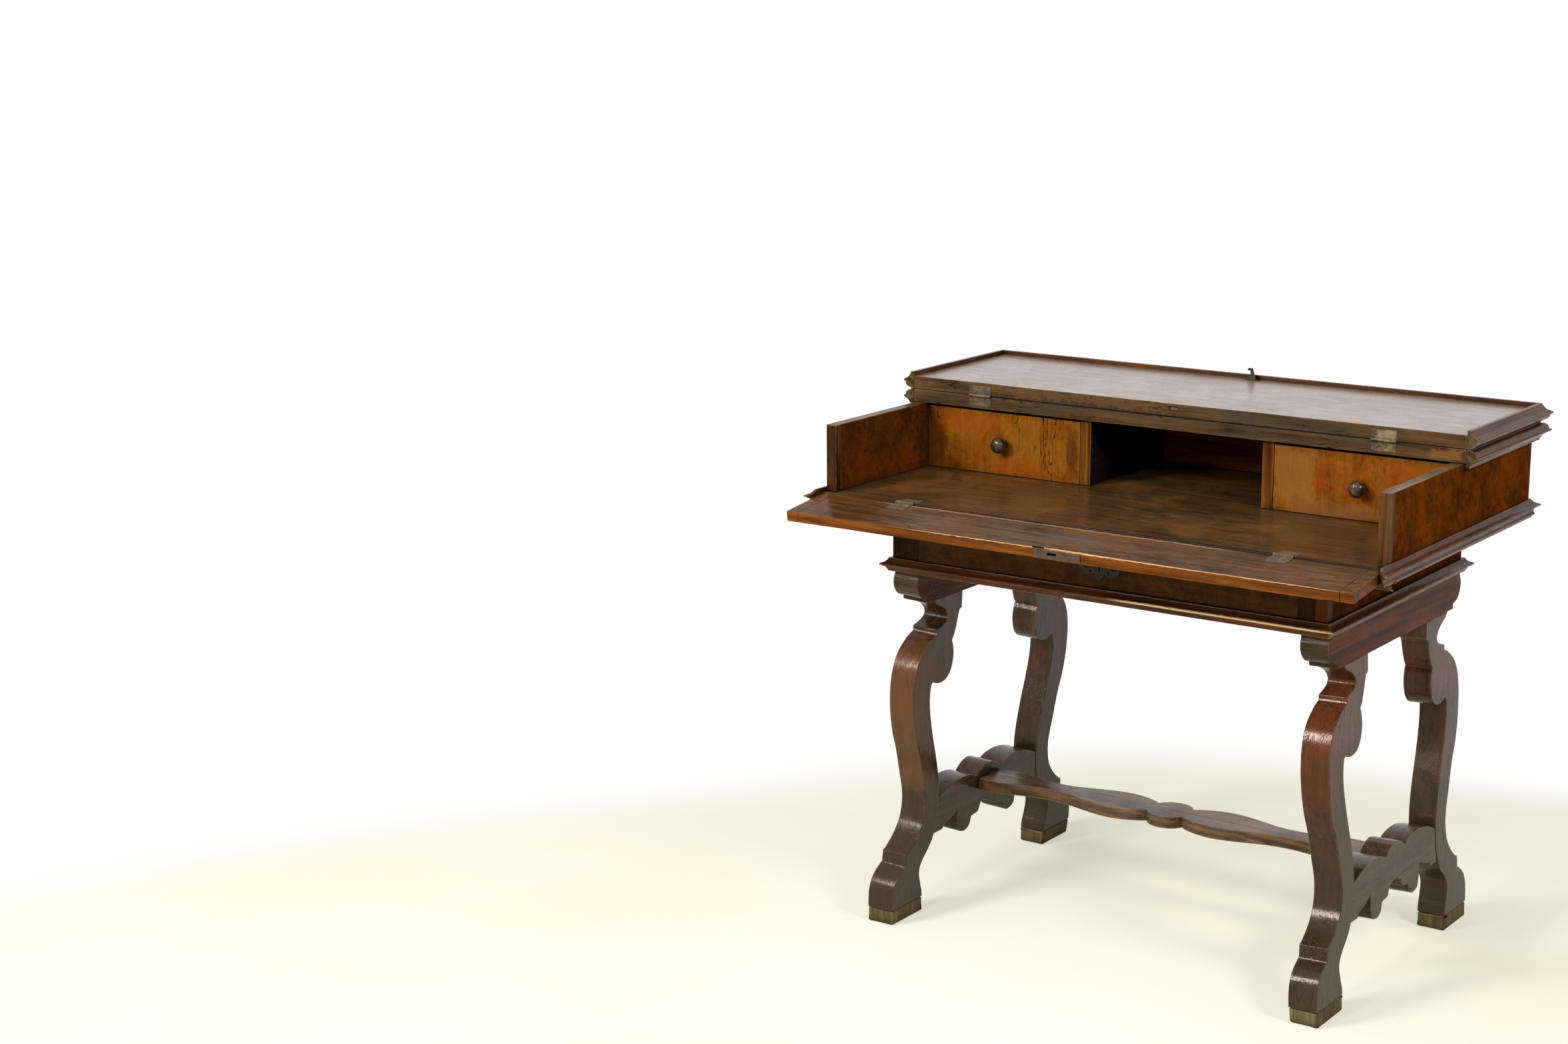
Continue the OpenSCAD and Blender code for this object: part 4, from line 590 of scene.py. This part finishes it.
dress("drop_front_moulding", "drop_front", "walnut",
      lambda m, n: "trim_end" if abs(n.x) > MOSTLY else "trim_x",
      bevel=0, cuts=[(0, 0.022)], wobble=0.0002, step=30.0)
bolt_low, bolt_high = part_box("drawer_lock_bolt")
bolt_fit = 0.0003
dress("large_drawer_front", "large_drawer", "burr walnut", "large", bevel=0.0012, shortest=0.02,
      cuts=[(0, 0.04)], beside=[bolt_low.x - bolt_fit, bolt_high.x + bolt_fit])
for part, look in (("sides", "lining"), ("back", "lining_x"), ("bottom", "lining")):
    dress(f"large_drawer_{part}", "large_drawer", "drawer linings", look, bevel=0.0006)
for name in ("top_hinge_fixed_leaves", "top_hinge_moving_leaves", "top_hinge_pins"):
    paint(name, "brass")
for name in ("flap_hinge_fixed_leaves", "flap_hinge_moving_leaves", "flap_hinge_pins"):
    paint(name, "sunk_iron")
for name in ("flap_lock_bolt", "lock_catch", "drawer_lock", "drawer_lock_bolt"):
    paint(name, "iron")
for name in ("flap_escutcheon", "drawer_escutcheon"):
    paint(name, "dark_iron")
paint("flap_lock", "lock_iron")


# Screws and nails, each set on the face that carries it

def head(b, radius, rise, slot, turn):
    """A low domed head about the origin, facing +Z. A screw's head has a slot: half its width is slot."""
    rings = [(1.0, -1.2), (1.0, 0.2), (0.86, 0.62), (0.6, 0.88), (0.3, 0.98)]
    around = 20
    slot_floor = -0.3
    loops = []
    for share, height in rings:
        loop = []
        for i in range(around):
            angle = 2 * math.pi * i / around
            loop.append(b.verts.new((radius * share * math.cos(angle), radius * share * math.sin(angle),
                                     rise * height)))
        loops.append(loop)
    for lower, upper in zip(loops, loops[1:]):
        for i in range(around):
            j = (i + 1) % around
            b.faces.new((lower[i], lower[j], upper[j], upper[i]))
    b.faces.new(loops[-1])
    if slot:
        for at in (-slot, -slot * 0.8, slot * 0.8, slot):
            split(b, 0, at, 1e-7)
        for v in b.verts:
            if abs(v.co.x) < slot * 0.9 and v.co.z > 0:
                v.co.z = rise * slot_floor
    bmesh.ops.rotate(b, verts=b.verts, matrix=Matrix.Rotation(turn, 3, "Z"))


def fasteners(name, body, slot, look, node, starts, aim, radius=0.0024, rise=0.0003, cut=0.0003):
    """One group of heads on a solid's face, found from each start along aim."""
    solid = nodes[node].data
    skin = BVHTree.FromPolygons([v.co for v in solid.vertices], [f.vertices for f in solid.polygons])
    whole = bmesh.new()
    for i, start in enumerate(starts):
        point, normal, _, _ = skin.ray_cast(start, aim)
        b = bmesh.new()
        head(b, radius, rise, cut, 0.9 * i + point.x)
        stand = normal.to_track_quat("Z", "Y").to_matrix().to_4x4()
        bmesh.ops.transform(b, verts=b.verts, matrix=Matrix.Translation(point) @ stand)
        part = bpy.data.meshes.new("head")
        b.to_mesh(part)
        b.free()
        whole.from_mesh(part)
        bpy.data.meshes.remove(part)
    for f in whole.faces:
        f.smooth = True
    mesh = bpy.data.meshes.new(name)
    whole.to_mesh(mesh)
    whole.free()
    mesh.materials.append(looks[look])
    mesh.set_sharp_from_angle(angle=math.radians(40.0))
    piece = bpy.data.objects.new(name, mesh)
    bpy.context.scene.collection.objects.link(piece)
    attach(piece, body)


def on_leaves(node, width, across, inset, start):
    """Two screws on each leaf of a pair of hinges. A negative inset is measured from the high side."""
    lowest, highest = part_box(node)
    places = []
    for side in (-1, 1):
        for spread in (-0.28, 0.28):
            place = Vector(start)
            place.x = side * (highest.x - width / 2) + spread * width
            place[across] = (lowest if inset > 0 else highest)[across] + inset
            places.append(place)
    return places


def on_plate(node, inset, start, columns):
    """Columns of two heads on an upright plate, one near its foot and one near its top."""
    lowest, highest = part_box(node)
    span = highest.x - lowest.x - 2 * inset
    places = []
    for i in range(columns):
        for height in (lowest.z + inset, highest.z - inset):
            place = Vector(start)
            place.x = lowest.x + inset + span * i / (columns - 1)
            place.z = height
            places.append(place)
    return places


def near_ends(node, inset, start_y):
    """A head near each end of a plate that faces the front."""
    lowest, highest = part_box(node)
    height = (lowest.z + highest.z) / 2
    return [Vector((x, start_y, height)) for x in (lowest.x + inset, highest.x - inset)]


# Widths of the leaves, the ways that rays go to find a face, and where they start
top_leaf, flap_leaf = 0.041, 0.033
to_back, to_front, down = Vector((0, 1, 0)), Vector((0, -1, 0)), Vector((0, 0, -1))
before_fold, above_desk, behind = (0, -0.1, 0), (0, 0, 0.9), (0, 0.6, 0)
nail = dict(radius=0.0026, rise=0.0007, cut=0)
for leaf, body, inset in (("fixed", case, 0.0068), ("moving", "folding_top", -0.0068)):
    node = f"top_hinge_{leaf}_leaves"
    fasteners(f"top_hinge_{leaf}_screws", body, "brass", "brass", node,
              on_leaves(node, top_leaf, 2, inset, before_fold), to_back)
for leaf, body, inset in (("fixed", case, -0.01), ("moving", "drop_front", 0.01)):
    node = f"flap_hinge_{leaf}_leaves"
    fasteners(f"flap_hinge_{leaf}_screws", body, "iron", "sunk_iron", node,
              on_leaves(node, flap_leaf, 1, inset, above_desk), down)
fasteners("flap_lock_screws", "drop_front", "iron", "lock_iron", "flap_lock",
          near_ends("flap_lock", 0.007, -0.6), to_back)
fasteners("back_nails", case, "iron", "iron", "upper_back",
          on_plate("upper_back", 0.014, behind, 7), to_front, **nail)
fasteners("lower_back_nails", case, "iron", "iron", "lower_back",
          on_plate("lower_back", 0.012, behind, 6), to_front, **nail)


# Floor and light

def seen_directly(tree):
    """1 where a camera, glossy or transmitted ray arrives, 0 for light that has bounced."""
    path = tree.nodes.new("ShaderNodeLightPath")
    seen = path.outputs["Is Camera Ray"]
    for kind in ("Is Glossy Ray", "Is Transmission Ray"):
        most = tree.nodes.new("ShaderNodeMath")
        most.operation = "MAXIMUM"
        tree.links.new(seen, most.inputs[0])
        tree.links.new(path.outputs[kind], most.inputs[1])
        seen = most.outputs[0]
    return seen


def floor(radius=14.0, drop=0.0005):
    """Pale paper that keeps the desk's shadow and fades to white far away."""
    b = bmesh.new()
    bmesh.ops.create_circle(b, cap_ends=True, segments=96, radius=radius)
    mesh = bpy.data.meshes.new("floor")
    b.to_mesh(mesh)
    b.free()
    o = bpy.data.objects.new("floor", mesh)
    o.location.z = -drop
    bpy.context.scene.collection.objects.link(o)
    g = Graph("floor_paper")
    tint = g.noise(g.place, 0.9, 3.0)
    colour = g.mix(g.span(tint, 0.3, 0.7), PAPER_DARK, PAPER_LIGHT)
    speck = g.span(g.noise(g.place, 130.0, 2.0), 0.74, 0.8)
    colour = g.mix(g.math("MULTIPLY", speck, 0.12), colour, SPECK)
    g.put(g.shader.inputs["Base Color"], colour)
    g.shader.inputs["Roughness"].default_value = 0.8
    g.shader.inputs["Specular IOR Level"].default_value = 0.15
    from_desk = g.vector("LENGTH", g.place)
    from_paper = g.vector("LENGTH", g.vector("SUBTRACT", g.place, (1.26, -1.87, 0.0)))
    far = g.math("MULTIPLY", g.span(from_paper, 2.9, 3.2), g.span(from_desk, 0.75, 1.15))
    near = g.span(from_desk, 0.45, 0.95, 0.58, 0.74)
    share = g.math("ADD", near, g.math("MULTIPLY", far, g.math("SUBTRACT", 1.0, near)))
    glow = g.node("ShaderNodeEmission")
    g.put(glow.inputs[0], g.mix(far, colour, WHITE))
    blend = g.node("ShaderNodeMixShader")
    g.put(blend.inputs[0], g.math("MULTIPLY", share, seen_directly(g.tree)))
    g.put(blend.inputs[1], g.shader.outputs[0])
    g.put(blend.inputs[2], glow.outputs[0])
    g.put(g.out.inputs[0], blend.outputs[0])
    mesh.materials.append(g.material)


def lamp(name, place, aim, width, height, watts, colour):
    data = bpy.data.lights.new(name, "AREA")
    data.shape = "RECTANGLE"
    data.size = width
    data.size_y = height
    data.energy = watts
    data.color = colour
    o = bpy.data.objects.new(name, data)
    o.location = place
    o.rotation_mode = "QUATERNION"
    o.rotation_quaternion = (Vector(aim) - Vector(place)).to_track_quat("-Z", "Y")
    bpy.context.scene.collection.objects.link(o)


def background(tree, colour, strength):
    n = tree.nodes.new("ShaderNodeBackground")
    n.inputs[0].default_value = colour
    n.inputs[1].default_value = strength
    return n.outputs[0]


def studio():
    """A dim world for the light, which looks white where it is seen directly or mirrored."""
    world = bpy.data.worlds.new("studio")
    bpy.context.scene.world = world
    world.use_nodes = True
    tree = world.node_tree
    tree.nodes.clear()
    output = tree.nodes.new("ShaderNodeOutputWorld")
    both = tree.nodes.new("ShaderNodeMixShader")
    tree.links.new(seen_directly(tree), both.inputs[0])
    tree.links.new(background(tree, (1.0, 0.985, 0.96, 1.0), 0.26), both.inputs[1])
    tree.links.new(background(tree, WHITE, 1.0), both.inputs[2])
    tree.links.new(both.outputs[0], output.inputs[0])


floor()
mid_desk = (0.0, 0.0, 0.45)
lamp("key", (-0.3, -3.3, 2.75), mid_desk, 0.5, 0.5, 48.0, (1.0, 0.98, 0.95))
lamp("left", (-1.7, -3.1, 2.5), mid_desk, 1.0, 1.2, 150.0, (1.0, 0.99, 0.97))
lamp("side", (2.9, -1.2, 2.7), mid_desk, 0.8, 0.8, 76.0, (1.0, 0.99, 0.97))
lamp("top", (0.0, 0.2, 3.4), (0.0, 0.0, 0.4), 1.6, 1.2, 10.0, (1.0, 1.0, 1.0))
studio()
bpy.context.scene.view_settings.view_transform = "Standard"


# Camera, solved from the photograph's open view

photo_width, photo_height = 2355, 1568
focal_pixels = 3993.1
centre_x, centre_y = 1308.2, 849.9
sensor_width = 36.0
azimuth, elevation, roll = math.radians(33.996), math.radians(13.229), math.radians(0.075)
back = Vector((math.sin(azimuth) * math.cos(elevation), -math.cos(azimuth) * math.cos(elevation),
               math.sin(elevation)))
right = (-back).cross(Vector((0, 0, 1))).normalized()
up = right.cross(-back)
right, up = (right * math.cos(roll) + up * math.sin(roll),
             up * math.cos(roll) - right * math.sin(roll))
lens = bpy.data.cameras.new("camera")
lens.sensor_width = sensor_width
lens.lens = focal_pixels / photo_width * sensor_width
lens.shift_x = (photo_width / 2 - centre_x) / photo_width
lens.shift_y = (centre_y - photo_height / 2) / photo_width
lens.clip_start = 0.05
lens.clip_end = 60.0
camera = bpy.data.objects.new("camera", lens)
spot = Vector((1.9474, -3.7236, 1.6018))
camera.matrix_world = Matrix((
    (right.x, up.x, back.x, spot.x),
    (right.y, up.y, back.y, spot.y),
    (right.z, up.z, back.z, spot.z),
    (0, 0, 0, 1),
))
bpy.context.scene.collection.objects.link(camera)
bpy.context.scene.camera = camera

bpy.context.view_layer.update()
